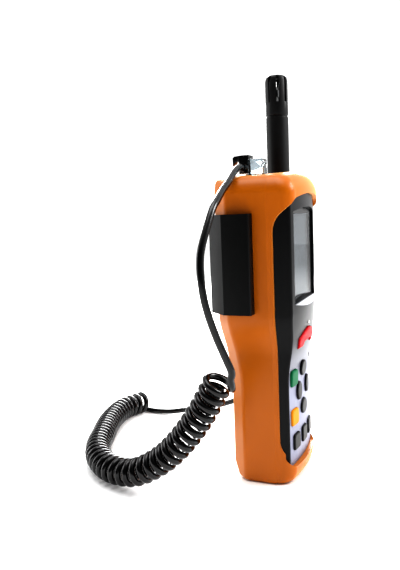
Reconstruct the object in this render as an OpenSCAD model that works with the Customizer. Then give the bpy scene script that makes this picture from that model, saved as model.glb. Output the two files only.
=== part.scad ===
// Handheld infrared thermometer and humidity meter, with a humidity wand on a curly lead.
// Millimetres. The origin is the middle of the base, the display looks along -Y and up is +Z.

/* [Body] */
// Height of the body without the wand
body_h = 203; // [199:0.5:208]
// Width of the head, at the display
head_w = 75; // [73:0.5:79]
// Width of the grip, at the keys
grip_w = 64; // [62:0.5:67]
// Centre plane to the back of the head
head_back = 27.2; // [26:0.1:28.5]
// Centre plane to the back of the grip
grip_back = 21.2; // [20:0.1:22.5]
// Centre plane to the seam between the two housings
seam_y = 13.5; // [13:0.1:14.5]
// Centre plane to the middle of the display face
face_head = 27.5; // [27:0.1:28.5]
// Centre plane to the middle of the key face
face_grip = 21.6; // [21.4:0.1:22.5]
// Radius of the crown across the display face
crown_r = 135; // [120:5:180]
// Radius of the crown across the key face
grip_crown_r = 190; // [160:5:240]
// Centre plane to the front of the brow over the display
brow_front = 30; // [29:0.25:32]
// Centre plane to the front of the cradle under the keys
cradle_front = 25; // [24:0.25:27]
// Height where the grip starts to widen
neck_low = 86; // [84:0.5:88]
// Height where the head has its full width
neck_high = 112; // [108:0.5:114]
// Width that the bevel takes off each back corner
bevel_x = 9.5; // [8:0.25:11]
// Depth that the bevel takes off each back corner
bevel_y = 10.5; // [9:0.25:12]

/* [Shells] */
// Thickness of the soft overmould
skin = 2.8; // [2.4:0.1:3.2]
// Wall of the hard housings
wall = 2; // [1.6:0.1:2.4]
// Gap between a housing and what it holds
fit = 0.15; // [0.1:0.01:0.2]
// Height of the cradle's lip under the keys
cradle_top = 11.5; // [10.5:0.25:13]
// Drop from the crest to the brow's lower edge, at its middle
brow_drop = 14; // [12.5:0.25:16]
// How far that edge drops at the sides
brow_arch = 5; // [3:0.25:6]
// How far the seam stands inside the head's side
face_inset = 3; // [2.5:0.1:3.5]
// How far the seam stands inside the grip's side
grip_inset = 1.5; // [1.3:0.1:2]
// Radius of the sweep from the brow down to the side seam
brow_sweep_r = 15; // [12:0.5:18]
// Radius of the sweep from the cradle up to the side seam
cradle_sweep_r = 14; // [12:0.5:16]

/* [Display] */
// Width of the window
lens_w = 54; // [50:0.5:55]
// Height of the window's lower edge, at the sides
lens_low = 119.4; // [118.5:0.1:120]
// Drop from the crest to the window's upper edge, at the sides
lens_drop = 26; // [25:0.5:29]
// Rise of the window's upper edge to its middle
lens_arch = 3; // [2:0.25:4]
// Thickness of the window
lens_t = 1.5; // [1.2:0.1:1.8]
// Distance of the window's outer face from the centre plane
lens_y = 23.3; // [23:0.1:23.6]
// Width of the glass that shows
lcd_w = 41; // [38:0.5:42]
// Height of the silver trim under the window, at its middle
trim_h = 5.2; // [4:0.1:6]

/* [Keys] */
// Height of a key over the face
key_proud = 1.4; // [1:0.1:2]
// Travel of a key
key_travel = 1; // [0.6:0.1:1.2]
// Gap round a key
key_gap = 0.3; // [0.2:0.05:0.4]
// Width of the rim that keeps a key in
key_rim = 0.6; // [0.5:0.05:0.7]
// Height of the middle of the arrow keys
nav_z = 58.7; // [58:0.1:59.5]
// Distance of the side arrow keys from the middle
nav_side = 10.2; // [10:0.1:10.6]
// Distance of the upper and lower arrow keys from the middle
nav_up = 13.2; // [13:0.1:14]
// Distance of the coloured keys from the middle
colour_x = 19.8; // [19.6:0.1:20.2]
// Height of the green key
green_z = 69.4; // [69:0.1:70.5]
// Height of the amber key
amber_z = 43.4; // [42.5:0.1:44.5]
// Distance between the lower keys
low_pitch = 17; // [16.5:0.25:18]
// Height of the lower keys
low_z = 26.2; // [25.5:0.1:27]
// Width of a coloured or lower key
square_w = 11.2; // [10.5:0.1:11.4]
// Height of a coloured or lower key
square_h = 10.6; // [9:0.1:11]
// Width of the red key
power_w = 36; // [34:0.5:37]
// Height of the red key's middle, without its peak and its feet
power_h = 9; // [8:0.25:9.5]
// Height of the red key's peak
power_z = 100.5; // [99.5:0.25:101]

/* [Battery and door] */
// Width of the battery
battery_w = 26.5; // [26:0.1:27]
// Thickness of the battery
battery_t = 17; // [16.5:0.1:17.5]
// Length of the battery
battery_l = 48.5; // [47:0.25:49]
// Height of the battery's foot
battery_z = 14.5; // [14:0.25:16]
// Width of the battery door
door_w = 35; // [33:0.5:37]
// Height of the battery door's lower edge
door_low = 11; // [10:0.5:12]
// Height of the battery door's upper edge
door_high = 77; // [74:0.5:79]
// Height of the tripod thread
tripod_z = 91; // [90:0.5:93]
// Radius of the tripod thread, a quarter inch wide
tripod_r = 3.175; // [3.1:0.005:3.2]
// Depth of the tripod thread
tripod_depth = 6.5; // [5:0.5:7]

/* [Sensors and jack] */
// Radius of the infrared lens
ir_r = 5.5; // [4.5:0.25:6]
// Place of the infrared lens across the top
ir_x = 19; // [18:0.25:20]
// Radius of the laser pointer
laser_r = 3; // [2.5:0.25:3.25]
// Place of the laser pointer across the top
laser_x = 6.5; // [6:0.25:7.5]
// Place of the plug across the top
plug_x = -6; // [-7:0.25:-5]
// Place of the plug's clear body, front to back
plug_y = 4; // [3:0.25:5]
// Width of the plug's clear body
plug_w = 11.7; // [11:0.1:12]
// Thickness of the plug's clear body
plug_t = 9.4; // [9:0.1:10]
// Height of the plug's clear body over the top
plug_up = 9.5; // [8.5:0.25:10.5]
// Depth of the plug in its jack
plug_in = 10; // [9:0.25:11]
// Thickness of the plug's black boot
boot_t = 6.6; // [6:0.1:7]

/* [Wand and clip] */
// Radius of the wand
wand_r = 8.3; // [8:0.05:8.4]
// Height of the wand's foot
wand_z = 118; // [116:0.5:120]
// Length of the wand's tube
wand_l = 130; // [126:0.5:134]
// Length of the slotted cap
cap_l = 29; // [27:0.5:31]
// Number of slots round the cap
cap_slots = 8; // [6:1:10]
// Width of a slot
slot_w = 2.2; // [1.8:0.1:2.6]
// Height of the clip's lower edge
clip_z = 114; // [113:0.5:116]
// Height of the clip
clip_h = 63; // [60:0.5:66]
// Thickness of the clip's arms
arm_t = 7.2; // [6.5:0.1:8]
// Front to back length of the clip's arms
arm_l = 18; // [17:0.5:19]
// Thickness of the clip behind the body
clip_back = 1.8; // [1.6:0.1:2.4]
// Gap between the clip and the body, or the wand
clip_gap = 0.2; // [0.15:0.01:0.25]

/* [Lead] */
// Diameter of the lead
lead_d = 4.4; // [4.2:0.1:4.5]
// Outer diameter of its curls
curl_d = 19; // [18:0.1:19.2]
// Number of curls
curls = 46; // [42:1:46]

/* [Hidden] */
$fn = 48;

// Side view of the body
back_lead = 24;
ridge_y = 10.5;
lip = 1;
corner_r = 9;
face_corner_r = 2;
face_draft = 2.5;
sweep_turn = 50;

// Rounding of the body's two ends
base_r = 10;
base_side_r = 3;
base_front = 7;
base_back = 5;
crest_r = 12;
crest_side_r = 10;
crest_front = 13;
crest_back_r = 4;
crest_arch = 4;
end_steps = 6;

// Inside of the housings
cavity_low = 9;
top_skin = 3;
roof_t = 15;
cavity_high = body_h - top_skin - roof_t;
brow_low = body_h - brow_drop;
foot_skin = 4;
key_floor_y = 18.2;
display_floor_y = 20.3;
boss_r = 4;
pcb_t = 1.6;
pcb_y = 12.6;
pcb_waist = 6;
pcb_corner_w = 8;
pcb_corner_h = 10;
buzzer_r = 6;
buzzer_h = 5;
snap_spacing = 12.6;
snap_t = 2;
snap_stud_r = 2.8;
snap_socket_r = 3.6;
front_reach = 2 * brow_front;
face_lead_low = 20;
face_lead_high = 4;
head_ring_up = 55;
sweep_under_brow = 24;
sweep_over_cradle = 19;

// Display, keys and battery room
lens_foot_arch = 2.2;
lens_high = body_h - lens_drop;
lcd_low = lens_low + 0.9;
lcd_h = lens_high - 1.4 - lcd_low;
panel_t = 0.7;
mat_t = 1.2;
shield_drop = 5.5;
shield_foot = 3;
compartment_y = grip_back - skin;
battery_gap = 0.3;
battery_front = compartment_y - battery_gap - battery_t;

// Fasteners
housing_screw_x = 27;
housing_screw_drop = 37;
housing_screw_high = body_h - housing_screw_drop;
neck_screw_x = 22;
neck_screw_z = 105;
screw_r = 1.3;
screw_head_r = 2.7;
screw_head_h = 2;
screw_seat_y = 6;
screw_l = 23;
pcb_post_r = 1.7;
pcb_screw_r = 0.8;
pcb_screw_l = 4;
pcb_head_r = 2;
pcb_head_h = 1.3;
cross_l = 4;
cross_w = 0.8;
door_screw_z = door_high - 5;
door_screw_r = 1.25;

// Sensors on the top
ir_y = 4;
laser_y = -6;
barrel_wall = 1.6;
barrel_l = 20;
lens_sink = 1.2;
jack_wall = 1.3;
socket_floor = body_h - plug_in - 0.3;

// Boot and lead
boot_y = plug_y + plug_t / 2;
boot_w = 10;
boot_low = body_h + 0.25;
boot_h = plug_up + 2.6;
stub_l = 5;
lead_z = boot_low + 3.9;
lead_exit = [plug_x - boot_w / 2 - stub_l, boot_y + boot_t / 2 - 0.2, lead_z];
bend_r = 2 * lead_d + 0.2;

// Middle line of the curls, from beside the head down to the floor and round behind the body
axis_route = [[-71.5, 11, 79.5], [-71.5, 22.5, 59.5], [-71, 36, 41], [-70.5, 52.5, 25],
              [-68.5, 73.5, 13.4], [-61, 96.5, 10], [-46, 115, 9.75], [-26.5, 128, 9.75],
              [-6.5, 136.5, 9.75], [13.5, 145, 9.75], [34.5, 151.5, 9.75], [57.5, 154.5, 9.75],
              [81.5, 147, 9.75]];
curl_r = (curl_d - lead_d) / 2;
curl_steps = 8;
head_turn = 62;
tail_turn = 90;
curl_n = curls * curl_steps;

// Wand
wand_x = head_w / 2 + clip_gap + arm_t + clip_gap + wand_r;
wand_y = 6.7;
arm_y = -1.3;
relief_l = 26;
collar_t = 2.4;
collar_h = 13;
cap_wall = 1.6;
slot_l = 17;

function smooth(t) = let (c = max(0, min(1, t))) c * c * (3 - 2 * c);
function between(a, b, z, low, high) = a + (b - a) * smooth((z - low) / (high - low));
function half_w(z) = between(grip_w, head_w, z, neck_low, neck_high) / 2;
function back_y(z) = between(grip_back, head_back, z, neck_low - back_lead, neck_high);
function face_y(z) = -between(face_grip, face_head, z, neck_low - face_lead_low, neck_high + face_lead_high);
function front_y(z) = -between(cradle_front, brow_front, z, neck_low, neck_high);
function crown(x, r = crown_r) = r - sqrt(r * r - x * x);
function face_crown(x, z) = between(crown(x, grip_crown_r), crown(x), z, neck_low, neck_high);
function face_half(z) = half_w(z) - between(grip_inset, face_inset, z, neck_low, neck_high);
function mirrored(half) =
    concat(half, [for (i = [len(half) - 2:-1:1]) [-half[i][0], half[i][1]]]);

// Half of the body's section, from the middle of the front to the middle of the back
function body_half(w, front, back, shoulder) =
    let (side = w - corner_r, turn_y = front + crown(side) + corner_r,
         kink = max(-ridge_y, turn_y + 0.4), flat = w - bevel_x * (back - shoulder) / bevel_y)
    concat([for (i = [0:3]) [side * i / 3, front + crown(side * i / 3)]],
           [for (a = [18:18:90])
               [side + (corner_r - lip) * sin(a), front + crown(side) + corner_r * (1 - cos(a))]],
           [[w, kink], [w, shoulder - 1.2], [w - 0.9, shoulder + 1.1],
            [flat + 1, back - 1.1], [flat - 1.2, back], [flat / 2, back], [0, back]]);

// One ring of the body at height z, drawn in by the given amounts
function body_ring(z, side, front, back, shoulder, arch) =
    [for (p = mirrored(body_half(half_w(z) - side, front_y(z) + front, back_y(z) - back,
                                 back_y(z) - bevel_y - shoulder)))
        [p[0], p[1], z - arch * pow(2 * p[0] / head_w, 2)]];

// How far a rounding of radius r draws in at depth t under the end
function tuck(t, r) = t < r ? r - sqrt(r * r - pow(r - t, 2)) : 0;

function base_rings() =
    [for (i = [0:end_steps])
        let (a = 90 - 90 * i / end_steps, in = 1 - cos(a), z = base_r * (1 - sin(a)),
             side = tuck(z, base_side_r))
        body_ring(z, side, base_front * in, base_back * (1 - z / base_r) + side, side, 0)];
function crest_rings() =
    [for (i = [0:end_steps])
        let (a = 90 * i / end_steps, t = crest_r * (1 - sin(a)), back = tuck(t, crest_back_r))
        body_ring(body_h - t, tuck(t, crest_side_r), crest_front * (1 - cos(a)), back, back,
                  crest_arch)];
function neck_rings() =
    [for (i = [0:8]) body_ring(neck_low - back_lead + i * (neck_high - neck_low + back_lead) / 8,
                               0, 0, 0, 0, 0)];

module loft(rings, tip) {
    m = len(rings[0]);
    n = len(rings);
    points = concat([for (r = rings) each r], [tip]);
    polyhedron(points,
        concat([[for (j = [0:m - 1]) j]],
               [for (i = [0:n - 2], j = [0:m - 1], half = [0, 1])
                   let (a = i * m + j, b = i * m + (j + 1) % m)
                   half == 0 ? [a, a + m, b + m] : [a, b + m, b]],
               [for (j = [0:m - 1]) [(n - 1) * m + (j + 1) % m, (n - 1) * m + j, n * m]]));
}

module body_form() {
    rings = concat(base_rings(), neck_rings(),
                   [body_ring(neck_high + head_ring_up, 0, 0, 0, 0, crest_arch / 4)], crest_rings());
    loft(rings, [0, 0, body_h]);
}

// Plan of a bevelled housing, drawn in by d
function bevel_section(w, back, d, front) =
    let (l = norm([bevel_x, bevel_y]), ys = back - bevel_y + d * (bevel_y - l) / bevel_x,
         xb = w - bevel_x + d * (bevel_x - l) / bevel_y)
    [[-(w - d), -front], [w - d, -front], [w - d, ys], [xb, back - d], [-xb, back - d],
     [-(w - d), ys]];

// Arched front view of the head's top, drawn in by d
function crest_outline(d, top, low) =
    let (w = head_w / 2 - d, r = crest_side_r - 1, n = 12)
    concat([[-w, low], [w, low]],
           [for (i = [0:2 * n]) let (x = w * cos(90 * i / n), e = max(0, abs(x) - (w - r)))
               [x, top - crest_arch * pow(x / w, 2) - r * (1 - sqrt(max(0, 1 - pow(e / r, 2))))]]);

module along_y(from, to) {
    translate([0, to, 0])
        rotate([90, 0, 0])
            linear_extrude(to - from)
                children();
}

// What the slope over the foot takes off the grip's back, drawn in by d
module foot_slope(d) {
    far = grip_back + 1;
    translate([-grip_w, 0, 0])
        rotate([90, 0, 90])
            linear_extrude(2 * grip_w)
                polygon([[grip_back - d - base_back, 0], [grip_back - d, base_r], [far, base_r],
                         [far, -1], [grip_back - d - base_back, -1]]);
}

module rear_form(d, low, top, front) {
    step = neck_high + d - skin;
    difference() {
        translate([0, 0, low])
            linear_extrude(step - low)
                polygon(bevel_section(grip_w / 2, grip_back, d, front));
        foot_slope(d);
    }
    intersection() {
        translate([0, 0, step - 1])
            linear_extrude(body_h - neck_high)
                polygon(bevel_section(head_w / 2, head_back, d, front));
        along_y(-seam_y - 2, head_back)
            polygon(crest_outline(d, top, neck_high - 2));
    }
}

// Front view of the face, grown by d
function face_right(d) =
    let (r = 7, xr = face_half(cradle_top) + d, zb = cradle_top - d)
    concat([[0, zb]],
           [for (a = [-90:15:0]) [xr - r + r * cos(a), zb + r + r * sin(a)]],
           [for (i = [0:8]) let (z = neck_low + i * (neck_high - neck_low) / 8)
               [face_half(z) + d, z]]);
function brow_z(x, d) =
    let (w = face_half(body_h) + d, r = 7, e = max(0, abs(x) - (w - r)))
    brow_low + d - brow_arch * pow(x / w, 2) - r * (1 - sqrt(max(0, 1 - pow(e / r, 2))));
function face_outline(d) =
    let (right = face_right(d), w = face_half(body_h) + d,
         half = concat(right, [for (a = [0:9:90]) [w * cos(a), brow_z(w * cos(a), d)]]))
    mirrored(half);

// Side view of what the overmould leaves open: from the seam, under the brow and over the cradle
function side_profile() =
    let (r = brow_sweep_r, top = brow_low - sweep_under_brow, c = cradle_sweep_r,
         low = cradle_top + sweep_over_cradle,
         far = front_reach - seam_y - 2)
    concat([for (a = [0:10:sweep_turn]) [-seam_y - r * (1 - cos(a)), top + r * sin(a)]],
           [[-seam_y - far, top + r * sin(sweep_turn) +
             (far - r * (1 - cos(sweep_turn))) / tan(sweep_turn)]],
           [[-seam_y - far, low - c * sin(sweep_turn) -
             (far - c * (1 - cos(sweep_turn))) / tan(sweep_turn)]],
           [for (a = [sweep_turn:-10:0]) [-seam_y - c * (1 - cos(a)), low - c * sin(a)]]);

module face_bay() {
    translate([-front_reach, 0, 0])
        rotate([90, 0, 90])
            linear_extrude(2 * front_reach)
                polygon(side_profile());
    along_y(-front_reach, -seam_y)
        polygon(face_outline(0));
}

// Half of the face's section, from its middle to the seam
function face_half_ring(z) =
    let (seam = face_half(z) - 2 * fit, y = face_y(z),
         edge = seam - face_draft * (-y - seam_y) / (face_head - seam_y),
         side = edge - face_corner_r)
    concat([for (i = [0:6]) [side * i / 6, y + face_crown(side * i / 6, z)]],
           [for (a = [22.5:22.5:90]) [side + face_corner_r * sin(a),
                                      y + face_crown(side, z) + face_corner_r * (1 - cos(a))]],
           [[seam, -seam_y], [0, -seam_y]]);
function face_ring(z) = [for (p = mirrored(face_half_ring(z))) [p[0], p[1], z]];

module face_form() {
    low = neck_low - face_lead_low;
    loft(concat([face_ring(2)],
                [for (i = [0:10]) face_ring(low + i * (neck_high + 2 - low) / 10)],
                [face_ring(body_h)]),
         [0, -seam_y - 2, body_h]);
}

// Long cylinders of the display's and the key face's crown, standing in by d
module head_crown(d, low, high) {
    translate([0, crown_r - face_head, low])
        cylinder(r = crown_r - d, h = high - low, $fn = 360);
}
module grip_crown(d, low, high) {
    translate([0, grip_crown_r - face_grip, low])
        cylinder(r = grip_crown_r - d, h = high - low, $fn = 360);
}

// Front views of the keys
function oval(w, h) = [for (a = [0:15:345]) [w / 2 * cos(a), h / 2 * sin(a)]];
function rounded(w, h, r) =
    [for (q = [0:3], a = [0:22.5:90])
        let (sx = [1, -1, -1, 1][q], sy = [1, 1, -1, -1][q])
        [sx * (w / 2 - r) + r * cos(q * 90 + a), sy * (h / 2 - r) + r * sin(q * 90 + a)]];
// A broad arrow head with its peak at the top and two feet, grown by d
function shield(d) =
    let (w = power_w / 2 + d, n = 8)
    concat([for (i = [-n:n]) let (u = abs(i) / n) [w * i / n, d - shield_drop * pow(u, 1.6)]],
           [for (i = [n:-1:-n]) let (u = abs(i) / n)
               [w * i / n, -power_h - d - shield_foot * smooth((u - 0.4) / 0.25)]]);

// The keys as [name, place across, height, kind, colour]
KEYS = [["power_key", 0, power_z, "shield", "red"],
        ["nav_up_key", 0, nav_z + nav_up, "wide", "#26272b"],
        ["nav_down_key", 0, nav_z - nav_up, "wide", "#26272b"],
        ["nav_left_key", -nav_side, nav_z, "tall", "#26272b"],
        ["nav_right_key", nav_side, nav_z, "tall", "#26272b"],
        ["green_key", -colour_x, green_z, "square", "#12a06a"],
        ["amber_key", -colour_x, amber_z, "square", "#f09a16"],
        ["low_left_key", -low_pitch, low_z, "square", "#26272b"],
        ["low_mid_key", 0, low_z, "square", "#26272b"],
        ["low_right_key", low_pitch, low_z, "square", "#26272b"]];

// A key's front view, grown by d
module key_shape(kind, d) {
    if (kind == "shield")
        polygon(shield(d));
    if (kind == "wide")
        polygon(oval(13 + 2 * d, 10.4 + 2 * d));
    if (kind == "tall")
        polygon(oval(9.6 + 2 * d, 12.4 + 2 * d));
    if (kind == "square")
        polygon(rounded(square_w + 2 * d, square_h + 2 * d, 2.2 + d));
}

// Height of a key's middle, its crown, and the flat behind the face that its rim rests on
function key_mid_z(k) = k[3] == "shield" ? k[2] - power_h * 0.6 : k[2];
function key_crown_r(k) = k[3] == "shield" ? crown_r : grip_crown_r;
function key_seat_y(k) = k[2] > neck_low ? -display_floor_y : -key_floor_y;

module key(index) {
    k = KEYS[index];
    seat = key_seat_y(k) + fit;
    mid = key_mid_z(k);
    r = key_crown_r(k);
    tilt = atan((face_y(mid - 4) - face_y(mid + 4)) / 8);
    color(k[4]) {
        intersection() {
            translate([k[1], 0, k[2]])
                along_y(-front_reach, seat + 0.01)
                    key_shape(k[3], 0);
            translate([0, face_y(mid), mid])
                rotate([tilt, 0, 0])
                    translate([0, r, -r / 2])
                        cylinder(r = r + key_proud, h = r, $fn = 360);
        }
        translate([k[1], 0, k[2]])
            along_y(seat, seat + key_rim)
                key_shape(k[3], key_rim);
    }
}

// Outline of the silver key panel, standing in from the face by d
function panel_outline(d) =
    let (r = 6, w = face_half(cradle_top) - face_draft - 0.4 - d, zb = cradle_top + 1 + d,
         top = neck_low - 8 - d)
    mirrored(concat([[0, zb]],
                    [for (a = [-90:15:0]) [w - r + r * cos(a), zb + r + r * sin(a)]],
                    [[w, top - 5], [w - 1.5, top - 1.6], [w - 6, top - 0.4], [0, top]]));

module panel_recess(d) {
    along_y(-front_reach, -seam_y)
        polygon(panel_outline(d));
}

module key_holes(d) {
    for (k = KEYS)
        translate([k[1], 0, k[2]])
            along_y(-front_reach, -seam_y + 1)
                key_shape(k[3], d);
}

// Front view of the window, grown by d
function lens_outline(d) =
    let (w = lens_w / 2 + d)
    concat([for (i = [-6:6]) let (x = w * i / 6)
               [x, lens_low - d + lens_foot_arch * (1 - pow(i / 6, 2))]],
           [for (i = [6:-1:-6]) let (x = w * i / 6)
               [x, lens_high + d + lens_arch * (1 - pow(i / 6, 2))]]);

// Front view of the silver trim: it follows the window's lower edge and bellies downwards
function trim_outline(d) =
    let (w = lens_w / 2 + 0.4 + d, edge = lens_low - 0.5 + d, n = 12)
    concat([for (i = [-n:n]) let (u = i / n) [w * u, edge + lens_foot_arch * (1 - u * u)]],
           [for (i = [n - 1:-1:-n + 1]) let (u = i / n)
               [w * u, edge - 2 * d + (lens_foot_arch - trim_h) * (1 - u * u)]]);

housing_screw_places = [[-housing_screw_x, housing_screw_high], [housing_screw_x, housing_screw_high],
                        [-neck_screw_x, neck_screw_z], [neck_screw_x, neck_screw_z]];
led_z = power_z + 3;
pcb_post_z = (low_z + amber_z) / 2;
pcb_post_places = [[-10, neck_screw_z + 6], [10, neck_screw_z + 6],
                   [-low_pitch - 5, pcb_post_z], [low_pitch + 5, pcb_post_z]];

module at_places(places) {
    for (p = places)
        translate([p[0], 0, p[1]])
            children();
}

// A cylinder along Y between two places
module post(r, from, to) {
    translate([0, to, 0])
        rotate([90, 0, 0])
            cylinder(r = r, h = to - from);
}

module top_hole(x, y, r, low) {
    translate([x, y, low])
        cylinder(r = r, h = body_h - low + 1);
}

module plug_room(d, low) {
    translate([plug_x - plug_w / 2 - d, plug_y - plug_t / 2 - d, low])
        cube([plug_w + 2 * d, plug_t + 2 * d, body_h - low + 1]);
}

module overmould() {
    color("#e58a1c")
        difference() {
            body_form();
            face_bay();
            rear_form(skin, foot_skin, body_h - top_skin, seam_y);
            translate([-door_w / 2 - key_gap, 0, door_low - key_gap])
                cube([door_w + 2 * key_gap, head_back + 1, door_high - door_low + 2 * key_gap]);
            at_places(housing_screw_places)
                post(screw_head_r + 0.6, 0, head_back + 1);
            translate([0, 0, tripod_z])
                post(tripod_r + 5 + fit, 0, head_back + 1);
            top_hole(ir_x, ir_y, ir_r + barrel_wall + fit, body_h - 20);
            top_hole(laser_x, laser_y, laser_r + fit, body_h - 20);
            plug_room(jack_wall + fit, body_h - 20);
        }
}

module rear_housing() {
    back_wall = grip_back - skin - wall;
    box_w = battery_w + 2 * battery_gap;
    box_top = battery_z + battery_l + 4.5;
    color("#2b2b2d")
        difference() {
            union() {
                difference() {
                    rear_form(skin, foot_skin, body_h - top_skin, seam_y);
                    rear_form(skin + wall, cavity_low, cavity_high, seam_y + 1);
                }
                intersection() {
                    rear_form(skin + wall / 2, foot_skin + 1, cavity_high + 1, seam_y);
                    union() {
                        at_places(housing_screw_places)
                            post(boss_r, -seam_y, head_back);
                        translate([-box_w / 2 - wall, battery_front - battery_gap - wall,
                                   battery_z - battery_gap - wall])
                            cube([box_w + 2 * wall, 2 * battery_t,
                                  box_top - battery_z + battery_gap + 2 * wall]);
                        translate([0, 0, door_screw_z])
                            post(boss_r, 0, back_wall + 1);
                    }
                }
                translate([0, 0, tripod_z])
                    post(tripod_r + 5, back_wall - 2, back_y(tripod_z) - 0.8);
            }
            translate([-box_w / 2, battery_front - battery_gap, battery_z - battery_gap])
                cube([box_w, 2 * battery_t, box_top - battery_z + battery_gap]);
            at_places(housing_screw_places) {
                post(screw_r + 0.25, -seam_y - 1, screw_seat_y + 1);
                post(screw_head_r + 0.3, screw_seat_y, head_back + 1);
            }
            translate([0, 0, door_screw_z])
                post(door_screw_r + 0.1, 2, head_back);
            translate([0, 0, tripod_z])
                post(tripod_r + 2, back_y(tripod_z) - 0.8 - tripod_depth - 1, head_back + 1);
            top_hole(ir_x, ir_y, ir_r + barrel_wall + fit, body_h - barrel_l - 1);
            top_hole(laser_x, laser_y, laser_r + fit, cavity_high - 2);
            plug_room(jack_wall + fit, cavity_high - 2);
        }
}

module front_housing() {
    in_w = fit + wall + 1;
    color("#1d1e21")
        difference() {
            union() {
                difference() {
                    intersection() {
                        face_form();
                        along_y(-front_reach, -seam_y)
                            polygon(face_outline(-fit));
                    }
                    along_y(-key_floor_y, -seam_y + 1)
                        polygon(face_outline(-in_w));
                    along_y(-display_floor_y, -key_floor_y + 0.5)
                        polygon([for (p = face_outline(-in_w - 0.2)) if (p[1] > neck_low - 1) p]);
                }
                at_places(housing_screw_places)
                    post(boss_r - 1, -key_floor_y - 3, -seam_y);
                at_places(pcb_post_places)
                    post(pcb_post_r, -display_floor_y - 0.4, -pcb_y);
            }
            at_places(housing_screw_places)
                post(screw_r + 0.15, -key_floor_y - 0.5, -seam_y + 1);
            at_places(pcb_post_places)
                post(pcb_screw_r + 0.1, -pcb_y - pcb_screw_l - 1, -seam_y + 2);
            along_y(-front_reach, -lens_y + lens_t)
                polygon(lens_outline(fit));
            intersection() {
                along_y(-front_reach, -seam_y)
                    polygon(lens_outline(-0.4));
                translate([-lcd_w / 2 - 1.5, -front_reach, 0])
                    cube([lcd_w + 3, front_reach, lcd_low + lcd_h + 0.3]);
            }
            key_holes(key_gap);
            difference() {
                panel_recess(0);
                grip_crown(panel_t, 0, body_h);
            }
            difference() {
                along_y(-front_reach, -seam_y)
                    polygon(trim_outline(fit));
                head_crown(0.8, 0, body_h);
            }
            translate([0, 0, led_z])
                post(1.25, -front_reach, -seam_y);
        }
}

module keypad_panel() {
    color("#b9bdcb")
        difference() {
            intersection() {
                panel_recess(0.1);
                grip_crown(0, cradle_top, neck_low);
            }
            grip_crown(panel_t, 0, body_h);
            key_holes(key_gap);
        }
}

module trim_crescent() {
    color("#c9ccd2")
        difference() {
            intersection() {
                along_y(-front_reach, -seam_y)
                    polygon(trim_outline(0));
                head_crown(-0.6, 0, body_h);
            }
            head_crown(0.8, 0, body_h);
        }
}

module lcd_lens() {
    color("#17181b")
        along_y(-lens_y, -lens_y + lens_t)
            polygon(lens_outline(0));
}

module lcd_module() {
    front = -display_floor_y + fit;
    color("#6d7277")
        difference() {
            translate([-lcd_w / 2 - 3, front, lcd_low - 4])
                cube([lcd_w + 6, display_floor_y - fit - pcb_y - fit, lcd_h + 8]);
            translate([-lcd_w / 2, front - 1, lcd_low])
                cube([lcd_w, 1.3, lcd_h]);
        }
}

module pcb() {
    grip_half = grip_w / 2 - skin - wall - 1;
    head_half = head_w / 2 - skin - wall - 1.5;
    top = cavity_high - 2;
    color("#1f6b3a")
        difference() {
            along_y(-pcb_y, -pcb_y + pcb_t)
                polygon([[-grip_half, cavity_low + 1], [grip_half, cavity_low + 1],
                         [grip_half, neck_high + 1], [head_half, neck_high + pcb_waist],
                         [head_half, top - pcb_corner_h], [head_half - pcb_corner_w, top],
                         [-head_half + pcb_corner_w, top], [-head_half, top - pcb_corner_h],
                         [-head_half, neck_high + pcb_waist], [-grip_half, neck_high + 1]]);
            at_places(housing_screw_places)
                post(boss_r + 0.4, -seam_y - 1, 0);
            at_places(pcb_post_places)
                post(pcb_screw_r + 0.2, -seam_y - 1, 0);
        }
}

module keypad_mat() {
    edge = fit + wall + 1.4;
    half = grip_w / 2 - skin - wall - 2 * fit;
    color("#8f9297")
        difference() {
            union() {
                along_y(-pcb_y - mat_t, -pcb_y)
                    intersection() {
                        polygon(face_outline(-edge));
                        translate([-half, 0])
                            square([2 * half, neck_high - 12]);
                    }
                for (k = KEYS)
                    translate([k[1], 0, key_mid_z(k)])
                        post(2.6, key_seat_y(k) + fit + key_rim + key_travel + 0.3,
                             -pcb_y - mat_t + 0.01);
            }
            at_places(pcb_post_places)
                post(pcb_post_r + 0.4, -seam_y - 8, 0);
        }
}

module status_led() {
    color("white") {
        translate([0, 0, led_z]) {
            post(1.1, face_y(led_z) - 0.4, -pcb_y - 1.2);
            post(1.6, -pcb_y - 1.21, -pcb_y);
        }
    }
}

module buzzer() {
    color("#202124")
        translate([15, 0, neck_high + 14])
            difference() {
                post(buzzer_r, -pcb_y + pcb_t, -pcb_y + pcb_t + buzzer_h);
                post(0.8, -pcb_y + pcb_t + 2, -pcb_y + pcb_t + buzzer_h + 1);
            }
}

module battery() {
    color("#55606e")
        translate([-battery_w / 2, battery_front, battery_z])
            cube([battery_w, battery_t, battery_l]);
}

module battery_snap() {
    top = battery_z + battery_l;
    color("#1b1b1d") {
        translate([-battery_w / 2, battery_front + 0.5, top + snap_t])
            cube([battery_w, battery_t - 1, snap_t]);
        for (side = [-1, 1])
            translate([side * snap_spacing / 2, battery_front + battery_t / 2, top])
                cylinder(r = side < 0 ? snap_stud_r : snap_socket_r, h = snap_t + 0.01);
    }
}

module battery_door() {
    color("#232325")
        difference() {
            translate([-door_w / 2, compartment_y, door_low])
                cube([door_w, skin, door_high - door_low]);
            translate([0, 0, door_screw_z]) {
                post(door_screw_r + 0.1, compartment_y - 1, grip_back + 1);
                post(2.6, grip_back - 1.2, grip_back + 1);
            }
            for (i = [0:4])
                translate([-8, grip_back - 0.7, door_low + 6 + 3 * i])
                    cube([16, 1, 1.4]);
        }
}

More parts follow.
